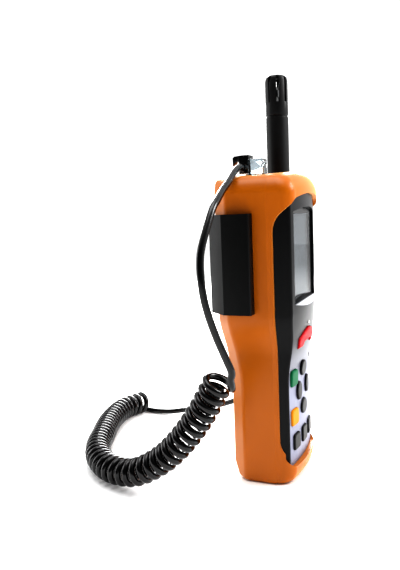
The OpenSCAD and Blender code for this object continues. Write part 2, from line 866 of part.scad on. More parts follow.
module door_screw() {
    color("silver")
        translate([0, 0, door_screw_z])
            difference() {
                union() {
                    post(door_screw_r, grip_back - 9, grip_back - 1.2);
                    post(2.4, grip_back - 1.2, grip_back);
                }
                translate([-2, grip_back - 0.7, -0.35])
                    cube([4, 1, 0.7]);
                translate([-0.35, grip_back - 0.7, -2])
                    cube([0.7, 1, 4]);
            }
}

module housing_screws() {
    color("silver")
        at_places(housing_screw_places)
            difference() {
                union() {
                    post(screw_r, screw_seat_y - screw_l, screw_seat_y);
                    post(screw_head_r, screw_seat_y, screw_seat_y + screw_head_h);
                }
                translate([-cross_l / 2, screw_seat_y + screw_head_h - 0.8, -cross_w / 2])
                    cube([cross_l, 1, cross_w]);
                translate([-cross_w / 2, screw_seat_y + screw_head_h - 0.8, -cross_l / 2])
                    cube([cross_w, 1, cross_l]);
            }
}

module pcb_screws() {
    color("silver")
        at_places(pcb_post_places) {
            post(pcb_screw_r, -pcb_y - pcb_screw_l, -pcb_y + pcb_t);
            post(pcb_head_r, -pcb_y + pcb_t, -pcb_y + pcb_t + pcb_head_h);
        }
}

module tripod_insert() {
    mouth = back_y(tripod_z) - 0.8;
    color("#c8a24a")
        translate([0, 0, tripod_z])
            difference() {
                post(tripod_r + 2 - 0.02, mouth - tripod_depth - 0.98, mouth);
                post(tripod_r, mouth - tripod_depth, mouth + 1);
            }
}

module ir_barrel() {
    color("#101012")
        translate([ir_x, ir_y, 0])
            rotate_extrude()
                polygon([[ir_r - 1, body_h - barrel_l], [ir_r + barrel_wall, body_h - barrel_l],
                         [ir_r + barrel_wall, body_h - 0.9], [ir_r + 0.1, body_h - 0.9],
                         [ir_r + 0.1, body_h - lens_sink - 1.5], [ir_r - 1, body_h - lens_sink - 3]]);
}

module ir_lens() {
    edge = body_h - lens_sink - 1.5;
    color("#5a4a52")
        translate([ir_x, ir_y, 0])
            rotate_extrude()
                polygon(concat([[0, edge - 0.6], [ir_r - 1, edge - 0.6],
                                [ir_r, edge + 0.1], [ir_r, edge + 0.6]],
                               [for (i = [1:6]) let (r = ir_r * (1 - i / 6))
                                   [r, edge + 0.6 + 0.7 * (1 - pow(r / ir_r, 2))]]));
}

module thermopile() {
    low = body_h - barrel_l - 2;
    color("silver")
        translate([ir_x, ir_y, low])
            rotate_extrude()
                polygon([[0, 0], [ir_r + 0.3, 0], [ir_r + 0.3, 1.9], [ir_r - 1.2, 1.9],
                         [ir_r - 1.2, 4.4], [0, 4.4]]);
}

module laser_pointer() {
    color("#b08d3c")
        translate([laser_x, laser_y, 0])
            rotate_extrude()
                polygon([[0, cavity_high - 1], [laser_r, cavity_high - 1], [laser_r, body_h - 1],
                         [0.9, body_h - 1], [0.6, body_h - 2], [0, body_h - 2]]);
}

module top_jack() {
    low = cavity_high - 1;
    color("#151517")
        difference() {
            translate([plug_x - plug_w / 2 - jack_wall, plug_y - plug_t / 2 - jack_wall, low])
                cube([plug_w + 2 * jack_wall, plug_t + 2 * jack_wall, body_h - low - 0.3]);
            plug_room(0.1, socket_floor);
        }
}

module plug_body() {
    low = body_h - plug_in;
    h = plug_in + plug_up;
    color([0.8, 0.85, 0.9, 0.5])
        translate([plug_x, plug_y, low])
            difference() {
                translate([-plug_w / 2, -plug_t / 2, 0])
                    cube([plug_w, plug_t, h]);
                for (i = [0:7])
                    translate([-plug_w / 2 + 1.35 + i * 1.27, -plug_t / 2 - 1, -1])
                        cube([0.5, 2.2, 7]);
                translate([-plug_w, -plug_t / 2 - 1, h - 5.5])
                    cube([2 * plug_w, 1.5, 2.5]);
            }
}

module plug_contacts() {
    color("#b5763a")
        for (i = [0:7])
            translate([plug_x - plug_w / 2 + 1.4 + i * 1.27, plug_y - plug_t / 2 + 0.3,
                       body_h - plug_in + 0.5])
                cube([0.4, 0.85, 5]);
}

module plug_boot() {
    top = boot_low + boot_h;
    lead_y = boot_y + boot_t / 2 - 0.2;
    color("#121214") {
        translate([plug_x - boot_w / 2, boot_y, boot_low])
            cube([boot_w, boot_t, boot_h]);
        translate([plug_x - boot_w / 2 + 1, 0, 0])
            rotate([90, 0, 90])
                linear_extrude(boot_w - 2)
                    polygon([[boot_y + boot_t - 0.5, top], [boot_y + boot_t + 3.6, top - 0.3],
                             [boot_y + boot_t + 4.8, top - 1.4], [boot_y + boot_t + 4.6, top - 6.8],
                             [boot_y + boot_t + 3.6, top - 5.2], [boot_y + boot_t + 2, top - 4.2],
                             [boot_y + boot_t - 0.5, top - 4]]);
        translate([plug_x - boot_w / 2 - stub_l, lead_y, lead_z])
            rotate([0, 90, 0])
                cylinder(r1 = lead_d / 2 + 0.5, r2 = lead_d / 2 + 1, h = stub_l + 0.5);
    }
}

// Centreline helpers for the lead
function unit(v) = v / norm(v);
function spline(p, i, t) =
    let (n = len(p) - 1, b = p[i], c = p[i + 1],
         a = i > 0 ? p[i - 1] : 2 * b - c, d = i + 2 <= n ? p[i + 2] : 2 * c - b)
    0.5 * (2 * b + (c - a) * t + (2 * a - 5 * b + 4 * c - d) * t * t +
           (3 * b - a - 3 * c + d) * t * t * t);
function along(p, u) = let (i = min(len(p) - 2, floor(u))) spline(p, i, u - i);

function curl_frame(u) =
    let (n = len(axis_route) - 1, v = u * n, e = 0.01,
         t = unit(along(axis_route, min(n, v + e)) - along(axis_route, max(0, v - e))),
         side = unit(cross(t, [0, 0, 1])))
    [along(axis_route, v), side, cross(t, side)];
function curl_angle(k) = head_turn - k / curl_n * (360 * curls + head_turn - tail_turn);
function curl_spoke(k) =
    let (f = curl_frame(k / curl_n), a = curl_angle(k))
    f[1] * cos(a) + f[2] * sin(a);
function curl_point(k) = curl_frame(k / curl_n)[0] + curl_r * curl_spoke(k);
curl_head = unit(curl_point(0.02) - curl_point(0));
curl_tail = unit(curl_point(curl_n) - curl_point(curl_n - 0.02));
curl_start = curl_point(0) - lead_d * 1.1 * curl_head;
curl_end = curl_point(curl_n) + lead_d * 1.1 * curl_tail;
curl_line = concat([curl_start, curl_point(0) - lead_d * 0.1 * curl_head],
                   [for (k = [0.5:1:curl_n - 0.5]) curl_point(k)],
                   [curl_point(curl_n) + lead_d * 0.1 * curl_tail, curl_end]);
curl_spokes = concat([curl_spoke(0), curl_spoke(0)], [for (k = [0.5:1:curl_n - 0.5]) curl_spoke(k)],
                     [curl_spoke(curl_n), curl_spoke(curl_n)]);

// The bend that brings the falling lead round into its first curl
bend_dir = unit([0.2, -0.1, -1]);
bend_side = unit(curl_head * (curl_head * bend_dir) - bend_dir);
bend_turn = acos(curl_head * bend_dir);
head_bend = [for (i = [4:-1:0]) let (a = bend_turn * i / 4)
    curl_start + bend_r * (bend_side * (1 - cos(a)) - curl_head * sin(a))];

// A tube with its rings at right angles to the line through the points
module tube(points, spokes, sides) {
    n = len(points);
    d = lead_d;
    rings = [for (i = [0:n - 1])
        let (t = unit(points[min(n - 1, i + 1)] - points[max(0, i - 1)]),
             a = unit(spokes[i] - t * (spokes[i] * t)), b = cross(t, a))
        [for (j = [0:sides - 1]) let (q = 360 * (j + 0.5) / sides)
            points[i] + d / 2 * (a * cos(q) + b * sin(q))]];
    polyhedron([for (r = rings) each r],
        concat([[for (j = [0:sides - 1]) j]],
               [for (i = [0:n - 2], j = [0:sides - 1], half = [0, 1])
                   let (a = i * sides + j, b = i * sides + (j + 1) % sides)
                   half == 0 ? [a, a + sides, b + sides] : [a, b + sides, b]],
               [[for (j = [sides - 1:-1:0]) (n - 1) * sides + j]]));
}

function run(p, steps) =
    concat([for (i = [0:len(p) - 2], k = [0:steps - 1]) spline(p, i, k / steps)], [p[len(p) - 1]]);

upper_route = concat([lead_exit, lead_exit - [4.5, 0, 0]],
                     [[-29, 12, 204], [-38, 11.5, 199.5], [-46, 11, 195.5], [-54, 11, 191.5],
                      [-66, 10, 185.5], [-74.6, 10, 179.8], [-82.9, 10.7, 168.8],
                      [-89.1, 11.6, 158], [-91.2, 11.7, 149.9], [-92, 11.1, 141.7],
                      [-91.9, 10.3, 133.3], [-91, 8.9, 124.8], [-89.2, 7, 116],
                      [-87.1, 4.6, 107], [-84.9, 1.6, 97.6], [-82.6, -1.3, 88]],
                     head_bend);
lower_route = concat([curl_end, curl_end + 4 * curl_tail],
                     [[79, 130, 2.6], [79.4, 120, 3.1], [80.5, 110, 4.6], [78.5, 97, 7.5],
                      [75.5, 82, 11.5], [71.5, 64, 17.5], [67, 46, 26], [62, 29, 39],
                      [57.5, 16, 55]],
                     [[wand_x, wand_y + 1.5, wand_z - relief_l - 16],
                      [wand_x, wand_y, wand_z - relief_l - 5], [wand_x, wand_y, wand_z - relief_l]]);

module lead_run(route, spoke) {
    line = run(route, 2);
    color("#141416")
        tube(line, [for (p = line) spoke], 10);
}

module lead_upper() {
    lead_run(upper_route, [0, 1, 0]);
}

module lead_lower() {
    lead_run(lower_route, [1, 0, 0]);
}

module lead_curl() {
    gaps = [for (i = [0:len(curl_line) - 6], j = [i + 5:min(len(curl_line) - 1, i + 20)])
        norm(curl_line[i] - curl_line[j])];
    echo(str("least gap between curls: ", min(gaps) - lead_d));
    color("#141416")
        tube(curl_line, curl_spokes, 6);
}

module wand_relief() {
    color("#141416")
        translate([wand_x, wand_y, wand_z - relief_l])
            difference() {
                cylinder(r1 = lead_d / 2 + 0.7, r2 = wand_r - 1.2, h = relief_l);
                for (i = [1:4])
                    translate([0, 0, i * 4.4])
                        rotate_extrude()
                            translate([lead_d / 2 + 0.9 + 0.62 * i, 0])
                                square([wand_r, 1.2]);
            }
}

module wand_tube() {
    neck_l = 6;
    color("#17181a")
        translate([wand_x, wand_y, wand_z])
            rotate_extrude()
                polygon([[0, 0], [wand_r - 1, 0], [wand_r, 1], [wand_r, wand_l - 1.2],
                         [wand_r - 0.5, wand_l - 0.8], [wand_r - 0.5, wand_l],
                         [wand_r - cap_wall - 0.15, wand_l], [wand_r - cap_wall - 0.15, wand_l + neck_l],
                         [0, wand_l + neck_l]]);
}

module wand_cap() {
    slot_z = cap_l - slot_l - 2.5;
    color("#17181a")
        translate([wand_x, wand_y, wand_z + wand_l + fit])
            difference() {
                rotate_extrude()
                    polygon([[wand_r - cap_wall, 0], [wand_r - 0.5, 0], [wand_r, 0.5],
                             [wand_r, cap_l - 4], [wand_r - 0.6, cap_l - 1.6], [wand_r - 2.4, cap_l - 0.2],
                             [wand_r - 4, cap_l], [0, cap_l], [0, cap_l - cap_wall],
                             [wand_r - 4, cap_l - cap_wall], [wand_r - cap_wall, cap_l - 4]]);
                for (i = [0:cap_slots - 1])
                    rotate([0, 0, 360 * (i + 0.5) / cap_slots])
                        translate([wand_r - 2.6, -slot_w / 2, slot_z])
                            cube([4, slot_w, slot_l + 4]);
            }
}

module humidity_sensor() {
    foot = wand_z + wand_l + 6;
    color("#e8e8e8") {
        translate([wand_x - 3.5, wand_y - 0.5, foot])
            cube([7, 1, 15]);
        translate([wand_x - 2, wand_y - 1.5, foot + 8])
            cube([4, 1.01, 5]);
    }
}

// The clip follows the head's side and bevel, and its far arm carries two open collars
module probe_clip() {
    w = head_w / 2 + clip_gap;
    back = head_back + clip_gap;
    outer = w + arm_t;
    collar_r = wand_r + clip_gap + collar_t;
    inner = bevel_section(head_w / 2, head_back, -clip_gap, -arm_y + 5);
    color("#1a1b1d")
        difference() {
            union() {
                translate([0, 0, clip_z])
                    linear_extrude(clip_h)
                        difference() {
                            polygon([[-outer, arm_y + 0.6], [-outer + 0.6, arm_y], [-w + 1, arm_y],
                                     [w - 1, arm_y], [outer - 0.6, arm_y], [outer, arm_y + 0.6],
                                     [outer, arm_y + arm_l], [outer - bevel_x - 1.5, back + clip_back],
                                     [-outer + bevel_x + 1.5, back + clip_back], [-outer, arm_y + arm_l]]);
                            polygon(inner);
                        }
                for (z = [clip_z + 3, clip_z + clip_h - 3 - collar_h])
                    translate([wand_x, wand_y, z])
                        cylinder(r = collar_r, h = collar_h);
            }
            translate([wand_x, wand_y, 0])
                cylinder(r = wand_r + clip_gap, h = body_h);
            translate([wand_x + wand_r * 0.55, wand_y - wand_r * 0.8, 0])
                cube([collar_r, wand_r * 1.6, body_h]);
            translate([0, 0, clip_z - 1])
                linear_extrude(clip_h + 2)
                    polygon(inner);
        }
}

overmould();
rear_housing();
front_housing();
keypad_panel();
trim_crescent();
lcd_lens();
lcd_module();
pcb();
keypad_mat();
status_led();
buzzer();
key(0);  // power_key
key(1);  // nav_up_key
key(2);  // nav_down_key
key(3);  // nav_left_key
key(4);  // nav_right_key
key(5);  // green_key
key(6);  // amber_key
key(7);  // low_left_key
key(8);  // low_mid_key
key(9);  // low_right_key
battery();
battery_snap();
battery_door();
door_screw();
housing_screws();
pcb_screws();
tripod_insert();
ir_lens();
ir_barrel();
thermopile();
laser_pointer();
top_jack();
plug_body();
plug_contacts();
plug_boot();
lead_upper();
lead_curl();
lead_lower();
wand_relief();
wand_tube();
wand_cap();
humidity_sensor();
probe_clip();
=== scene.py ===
# %% [markdown]
# # An infrared thermo-hygrometer with a wand on a curly lead
#
# This lesson dresses a handheld meter. Its sizes, its places and its joints come from a packed
# CAD model, the frame, so nothing moves here. The scene gives each piece the soft edges, the
# curves and the finish that the real one has.
#
# The meter stands on z = 0 with its display towards -Y. The photograph sees its -X side, so
# that side gets the most care. All lengths are in millimetres, and MM turns them into metres.

import math

import bmesh
import bpy
from mathutils import Matrix, Vector


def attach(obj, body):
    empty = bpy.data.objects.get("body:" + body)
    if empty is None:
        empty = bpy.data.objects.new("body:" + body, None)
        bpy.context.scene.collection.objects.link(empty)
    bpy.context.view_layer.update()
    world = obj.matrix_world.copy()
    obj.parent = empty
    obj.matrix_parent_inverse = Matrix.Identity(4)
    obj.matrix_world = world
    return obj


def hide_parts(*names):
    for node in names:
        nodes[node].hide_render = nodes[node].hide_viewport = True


MM = 0.001

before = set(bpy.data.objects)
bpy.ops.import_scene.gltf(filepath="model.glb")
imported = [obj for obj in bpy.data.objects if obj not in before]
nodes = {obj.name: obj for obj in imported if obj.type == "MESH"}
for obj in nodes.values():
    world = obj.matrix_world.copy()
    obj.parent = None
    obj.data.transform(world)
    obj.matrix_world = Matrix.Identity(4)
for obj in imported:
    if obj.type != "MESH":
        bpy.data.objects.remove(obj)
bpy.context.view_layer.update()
print("CAD nodes:", len(nodes))

# %% [markdown]
# ## Camera
# To compare a render with a photograph, the camera has to stand where the photographer stood.
# It could be moved by eye, but a small error in its place and one in its lens can hide each
# other. So the place, the turn and the focal length were fitted together to outline points of
# the object. The lens axis is a little off the middle of the picture, which a shift repeats.

# %% Camera values
PHOTO_SIZE = (400, 570)
FOCAL_PX = 611.87
AXIS_PX = (204.08, 288.71)
SENSOR_MM = 36
NEAREST = 0.01
CAMERA_PLACE = Vector((-0.3999, -0.1216, 0.1764))
CAMERA_AZIMUTH = -66.94
CAMERA_PITCH = 6.73
CAMERA_ROLL = -2.33


# %% Camera
def camera_turn(azimuth, pitch, roll):
    """Rotation of a camera that looks along +Y at azimuth 0, turned by the three angles."""
    a, e, r = (math.radians(x) for x in (azimuth, pitch, roll))
    back = Vector((math.sin(a) * math.cos(e), -math.cos(a) * math.cos(e), math.sin(e)))
    right = (-back).cross(Vector((0, 0, 1))).normalized()
    up = right.cross(-back)
    right, up = right * math.cos(r) + up * math.sin(r), up * math.cos(r) - right * math.sin(r)
    return Matrix((right, up, back)).transposed()


def add_camera():
    """The scene's camera, with the photograph's frame."""
    data = bpy.data.cameras.new("camera")
    data.sensor_width = SENSOR_MM
    data.lens = SENSOR_MM * FOCAL_PX / PHOTO_SIZE[1]
    data.shift_x = (PHOTO_SIZE[0] / 2 - AXIS_PX[0]) / PHOTO_SIZE[1]
    data.shift_y = (AXIS_PX[1] - PHOTO_SIZE[1] / 2) / PHOTO_SIZE[1]
    data.clip_start = NEAREST
    camera = bpy.data.objects.new("camera", data)
    camera.matrix_world = (
        Matrix.Translation(CAMERA_PLACE)
        @ camera_turn(CAMERA_AZIMUTH, CAMERA_PITCH, CAMERA_ROLL).to_4x4()
    )
    bpy.context.scene.collection.objects.link(camera)
    bpy.context.scene.camera = camera
    print("camera lens in mm:", round(data.lens, 2))


add_camera()

# %% [markdown]
# ## How a finish is built
# A moulded or painted piece is never quite even, and a flat colour looks drawn. The unevenness
# could be an image, but noise in the piece's object coordinates has no seams and needs no file,
# and it stays on the key or the door when that moves.
#
# Two noises are enough. A fine one, as coarse as the mould's texture, lifts the surface by some
# hundredths of a millimetre. A slow one with waves of 22 mm shifts the colour and the gloss.
# A real mould's grain is near 0.1 mm, too fine for this picture, where a pixel covers 0.7 mm,
# so it is drawn coarser, at 0.15 to 0.8 mm, and the floor's at 1.5 mm.

# %% Colours and nodes
FINE_DETAIL, SLOW_DETAIL = 3, 4
SLOW_WAVE = 22.2
BUMP_STRENGTH = 0.8
GLOSS_SPREAD = 0.05


def linear(hex_colour):
    """Linear colour of an sRGB hex value."""
    values = [int(hex_colour[i : i + 2], 16) / 255 for i in (1, 3, 5)]
    return [v / 12.92 if v <= 0.04045 else ((v + 0.055) / 1.055) ** 2.4 for v in values] + [1]


def add(tree, kind, inputs=None, **settings):
    """A node with its settings; an input is a value or the socket that feeds it."""
    node = tree.nodes.new(kind)
    for name, value in settings.items():
        setattr(node, name, value)
    for name, value in (inputs or {}).items():
        if isinstance(value, bpy.types.NodeSocket):
            tree.links.new(value, node.inputs[name])
        else:
            node.inputs[name].default_value = value
    return node


# %% A finish
def finish(name, colour, rough, grain=0.5, depth=0.01, mottle=0.08, **shader):
    """A material. grain is the width and depth the height of its texture, in millimetres."""
    material = bpy.data.materials.new(name)
    material.use_nodes = True
    tree = material.node_tree
    surface = tree.nodes["Principled BSDF"]
    place = add(tree, "ShaderNodeTexCoord").outputs["Object"]
    fine = add(
        tree,
        "ShaderNodeTexNoise",
        {"Vector": place, "Scale": 1 / (grain * MM), "Detail": FINE_DETAIL},
    )
    slow = add(
        tree,
        "ShaderNodeTexNoise",
        {"Vector": place, "Scale": 1 / (SLOW_WAVE * MM), "Detail": SLOW_DETAIL},
    )
    bump = add(
        tree,
        "ShaderNodeBump",
        {"Height": fine.outputs["Fac"], "Distance": depth * MM, "Strength": BUMP_STRENGTH},
    )
    dark = [c * (1 - 2 * mottle) for c in linear(colour)[:3]] + [1]
    tint = add(
        tree,
        "ShaderNodeMix",
        {"Factor": slow.outputs["Fac"], "A": linear(colour), "B": dark},
        data_type="RGBA",
    )
    gloss = add(
        tree,
        "ShaderNodeMapRange",
        {
            "Value": slow.outputs["Fac"],
            "To Min": rough - GLOSS_SPREAD,
            "To Max": rough + GLOSS_SPREAD,
        },
    )
    tree.links.new(tint.outputs["Result"], surface.inputs["Base Color"])
    tree.links.new(gloss.outputs["Result"], surface.inputs["Roughness"])
    tree.links.new(bump.outputs["Normal"], surface.inputs["Normal"])
    for socket, value in shader.items():
        surface.inputs[socket.replace("_", " ")].default_value = value
    return material


# %% [markdown]
# ## Meshes from rings
# Most of the pieces are shells whose section changes slowly from foot to top. Such a form could
# be sculpted or subdivided from a box, but then it wouldn't keep to the CAD curves. Here each
# section is a ring of points from the same formula that the CAD source uses, and a loft puts
# faces between the rings. A prism and a turned form are lofts of a simpler kind.

# %% Lofts
DRUM_STEPS, TURNED_STEPS = 48, 64


def mesh_object(name, points, faces):
    """An object at the origin from points in millimetres."""
    mesh = bpy.data.meshes.new(name)
    mesh.from_pydata([[c * MM for c in p] for p in points], [], faces)
    piece = bpy.data.objects.new(name, mesh)
    bpy.context.scene.collection.objects.link(piece)
    return piece


def face_outwards(piece):
    """Makes all faces look outwards."""
    form = bmesh.new()
    form.from_mesh(piece.data)
    bmesh.ops.recalc_face_normals(form, faces=form.faces)
    form.to_mesh(piece.data)
    form.free()
    return piece


def loft(name, rings):
    """A closed form through rings that have the same number of points."""
    m, n = len(rings[0]), len(rings)
    sides = [
        (i * m + j, i * m + (j + 1) % m, (i + 1) * m + (j + 1) % m, (i + 1) * m + j)
        for i in range(n - 1)
        for j in range(m)
    ]
    caps = [tuple(range(m)), tuple(range((n - 1) * m, n * m))]
    return face_outwards(mesh_object(name, [p for r in rings for p in r], sides + caps))


# %% Prisms, drums and turned forms
def prism(name, outline, axis, low, high):
    """An outline pushed along an axis. For X it holds (y, z), for Y (x, z) and for Z (x, y)."""
    place = {
        "X": lambda u, v, t: (t, u, v),
        "Y": lambda u, v, t: (u, t, v),
        "Z": lambda u, v, t: (u, v, t),
    }
    return loft(name, [[place[axis](u, v, t) for u, v in outline] for t in (low, high)])


def circle(x, y, radius, steps):
    """Points round a circle."""
    turns = [math.tau * k / steps for k in range(steps)]
    return [(x + radius * math.cos(a), y + radius * math.sin(a)) for a in turns]


def turned(name, profile, x, y):
    """A form turned about a vertical line, from (radius, height) points."""
    rings = [[(px, py, z) for px, py in circle(x, y, r, TURNED_STEPS)] for r, z in profile]
    return loft(name, rings)


def drum(name, axis, centre, radius, low, high, steps=DRUM_STEPS):
    """A round cutter along an axis."""
    return prism(name, circle(*centre, radius, steps), axis, low, high)


def block(name, low, high):
    """A rectangular cutter between two corners."""
    outline = [(low[0], low[1]), (high[0], low[1]), (high[0], high[1]), (low[0], high[1])]
    return prism(name, outline, "Z", low[2], high[2])


# %% [markdown]
# ## Cutting and rounding
# Moulded shells have openings with crisp but never sharp edges. An opening could be left out
# of each ring, but the real one is a cut through a finished skin, and a Boolean does just that.
# A narrow Bevel then rounds each edge, so that it catches the light as a moulded edge does.
# Weighted normals keep the large faces calm next to those narrow strips.

# %% Cutters and edges
SAME_PLACE = 0.002
FLAT_ANGLE = 0.5
SHARP_ANGLE = 32
EDGE_ANGLE = 35


def baked(piece):
    """The piece with its modifiers worked into its mesh."""
    graph = bpy.context.evaluated_depsgraph_get()
    mesh = bpy.data.meshes.new_from_object(piece.evaluated_get(graph))
    piece.modifiers.clear()
    piece.data = mesh
    return piece


def cut(piece, *tools, operation="DIFFERENCE"):
    """Cuts each tool from the piece, or keeps what is common to both, and drops the tools."""
    for tool in tools:
        step = piece.modifiers.new("cut", "BOOLEAN")
        step.operation = operation
        step.object = tool
        step.solver = "MANIFOLD"
        baked(piece)
        bpy.data.objects.remove(tool)
    return piece


def smoothed(piece, angle=SHARP_ANGLE):
    """Smooth shading, with an edge where two faces meet at more than the angle."""
    for polygon in piece.data.polygons:
        polygon.use_smooth = True
    piece.data.set_sharp_from_angle(angle=math.radians(angle))
    weighted = piece.modifiers.new("normals", "WEIGHTED_NORMAL")
    weighted.keep_sharp = True
    return piece


def eased(piece, width, segments=2, angle=EDGE_ANGLE):
    """Rounded edges of the given width in millimetres."""
    form = bmesh.new()
    form.from_mesh(piece.data)
    bmesh.ops.remove_doubles(form, verts=form.verts, dist=SAME_PLACE * MM)
    bmesh.ops.dissolve_limit(
        form, angle_limit=math.radians(FLAT_ANGLE), verts=form.verts, edges=form.edges
    )
    form.to_mesh(piece.data)
    form.free()
    step = piece.modifiers.new("edges", "BEVEL")
    step.width = width * MM
    step.segments = segments
    step.limit_method = "ANGLE"
    step.angle_limit = math.radians(angle)
    return baked(piece)


# %% Hand a finished piece over
def show(piece, body, surface, slot, *replaced):
    """Puts a finished piece on its body with its material, and hides the CAD nodes it stands for."""
    piece.data.materials.clear()
    piece.data.materials.append(surface)
    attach(piece, body)
    if replaced:
        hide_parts(*replaced)
    print("made", piece.name, "with", len(piece.data.polygons), "faces")
    return piece


# %% [markdown]
# ## The form of the meter
# Everything on the body follows a few curves. The head is wider and deeper than the grip, and
# a soft step joins them at the neck. Front and back change with the height, each over its own
# stretch. These curves could be drawn by hand in each piece, but then housing, panel and keys
# wouldn't meet, so each of them asks the same functions.

# %% Curves that change with the height
BODY_H, HEAD_W, GRIP_W = 203, 75, 64
HEAD_BACK, GRIP_BACK, SEAM_Y = 27.2, 21.2, 13.5
FACE_HEAD, FACE_GRIP, CROWN_R, GRIP_CROWN_R = 27.5, 21.6, 135, 190
BROW_FRONT, CRADLE_FRONT = 30, 25
NECK_LOW, NECK_HIGH, BACK_LEAD = 86, 112, 24
FACE_LEAD_LOW, FACE_LEAD_HIGH = 20, 4
FACE_INSET, GRIP_INSET = 3, 1.5
REACH = 60
BACK_REACH = HEAD_BACK + 1


def smooth(t):
    """A soft step from 0 to 1."""
    c = max(0, min(1, t))
    return c * c * (3 - 2 * c)


def between(a, b, z, low, high):
    """A value that goes softly from a to b between two heights."""
    return a + (b - a) * smooth((z - low) / (high - low))


def half_w(z):
    """Half of the body's width."""
    return between(GRIP_W, HEAD_W, z, NECK_LOW, NECK_HIGH) / 2


def back_y(z):
    """The body's back."""
    return between(GRIP_BACK, HEAD_BACK, z, NECK_LOW - BACK_LEAD, NECK_HIGH)


def face_y(z):
    """The middle of the black face."""
    low, high = NECK_LOW - FACE_LEAD_LOW, NECK_HIGH + FACE_LEAD_HIGH
    return -between(FACE_GRIP, FACE_HEAD, z, low, high)


def front_y(z):
    """The front of the rubber skin, before the face is cut out."""
    return -between(CRADLE_FRONT, BROW_FRONT, z, NECK_LOW, NECK_HIGH)


# %% The crowned face
def crown(x, r=CROWN_R):
    """How far a crowned face has fallen back at a distance x from its middle."""
    return r - math.sqrt(r * r - x * x)


def face_crown(x, z):
    """The crown of the black face, flatter on the grip than on the head."""
    return between(crown(x, GRIP_CROWN_R), crown(x), z, NECK_LOW, NECK_HIGH)


def face_half(z):
    """Half of the black face's width."""
    return half_w(z) - between(GRIP_INSET, FACE_INSET, z, NECK_LOW, NECK_HIGH)


def mirrored(half):
    """A full outline from its right half."""
    return half + [(-p[0], p[1]) for p in reversed(half[1:-1])]


print("width at the grip and the head:", 2 * half_w(0), 2 * half_w(BODY_H))

# %% [markdown]
# ## The lead
# The lead is one PVC cord: it leaves the boot sideways, falls past the head, turns into 46
# curls that lie on the floor, and rises behind the meter to the foot of the wand. Moulded PVC
# is close to black and rather glossy, so the curls show as black rings with thin white glints.
#
# The curls could be modelled with an Array along a curve, which bends each copy. A line that is
# worked out point by point, a helix round a route, keeps the wire round and gives its real
# length too. The route's points repeat the ones of the CAD source.

# %% The jacket's finish
PVC = finish(
    "Black PVC jacket", "#050506", rough=0.2, grain=0.8, depth=0.001, mottle=0.1,
    Specular_IOR_Level=0.45,
)

# %% Where the lead starts and ends
LEAD_D, CURL_D, CURLS = 4.4, 19, 46
HEAD_TURN, TAIL_TURN = 62, 90
PLUG_X, PLUG_Y, PLUG_W, PLUG_T = -6, 4, 11.7, 9.4
BOOT_T, BOOT_W, BOOT_LIFT, STUB_L, STUB_UP, STUB_BACK = 6.6, 10, 0.25, 5, 3.9, 0.2
BOOT_LOW = BODY_H + BOOT_LIFT
BOOT_Y = PLUG_Y + PLUG_T / 2
CLIP_GAP, ARM_T, WAND_R, WAND_Y = 0.2, 7.2, 8.3, 6.7
WAND_X = HEAD_W / 2 + CLIP_GAP + ARM_T + CLIP_GAP + WAND_R
WAND_Z, WAND_L, RELIEF_L = 118, 130, 26
RELIEF_FOOT = WAND_Z - RELIEF_L
LEAD_LEAVES = Vector((PLUG_X - BOOT_W / 2 - STUB_L, BOOT_Y + BOOT_T / 2 - STUB_BACK, BOOT_LOW + STUB_UP))
LEAD_ARRIVES = [
    Vector((WAND_X, WAND_Y + 1.5, RELIEF_FOOT - 16)),
    Vector((WAND_X, WAND_Y, RELIEF_FOOT - 5)),
    Vector((WAND_X, WAND_Y, RELIEF_FOOT)),
]

# %% The route, as in the CAD source
AXIS_ROUTE = [
    (-71.5, 11, 79.5), (-71.5, 22.5, 59.5), (-71, 36, 41), (-70.5, 52.5, 25), (-68.5, 73.5, 13.4),
    (-61, 96.5, 10), (-46, 115, 9.75), (-26.5, 128, 9.75), (-6.5, 136.5, 9.75), (13.5, 145, 9.75),
    (34.5, 151.5, 9.75), (57.5, 154.5, 9.75), (81.5, 147, 9.75),
]
UPPER_ROUTE = [
    (-29, 12, 204), (-38, 11.5, 199.5), (-46, 11, 195.5), (-54, 11, 191.5), (-66, 10, 185.5),
    (-74.6, 10, 179.8), (-82.9, 10.7, 168.8), (-89.1, 11.6, 158), (-91.2, 11.7, 149.9),
    (-92, 11.1, 141.7), (-91.9, 10.3, 133.3), (-91, 8.9, 124.8), (-89.2, 7, 116), (-87.1, 4.6, 107),
    (-84.9, 1.6, 97.6), (-82.6, -1.3, 88),
]
LOWER_ROUTE = [
    (79, 130, 2.6), (79.4, 120, 3.1), (80.5, 110, 4.6), (78.5, 97, 7.5), (75.5, 82, 11.5),
    (71.5, 64, 17.5), (67, 46, 26), (62, 29, 39), (57.5, 16, 55),
]
print("route points:", len(AXIS_ROUTE) + len(UPPER_ROUTE) + len(LOWER_ROUTE))


# %% A soft curve through the route
def spline(points, i, t):
    """A point between two route points, on a Catmull-Rom curve through all of them."""
    b, c = points[i], points[i + 1]
    a = points[i - 1] if i > 0 else 2 * b - c
    d = points[i + 2] if i + 2 < len(points) else 2 * c - b
    linear_part = (c - a) * t
    square_part = (2 * a - 5 * b + 4 * c - d) * t * t
    cubic_part = (3 * b - a - 3 * c + d) * t**3
    return 0.5 * (2 * b + linear_part + square_part + cubic_part)


def along(points, u):
    """A point at the place u, counted in route points."""
    i = min(len(points) - 2, int(u))
    return spline(points, i, u - i)


def run(points, steps):
    """The whole curve with so many steps between two route points."""
    spans = range(len(points) - 1)
    return [spline(points, i, k / steps) for i in spans for k in range(steps)] + [points[-1]]


# %% [markdown]
# ### Curls and bends
# A helix turns round its route in two directions that stand square to it. They come from the
# cross product with the vertical, so they never twist. The first curl and the last one have to
# be met by the straight stretches without a kink, so the helix also gives the directions in
# which its ends run on.

# %% The curls
STEPS_PER_CURL = 24
LOOK_AHEAD = 0.01
END_STEP = 0.02 / (CURLS * 8)


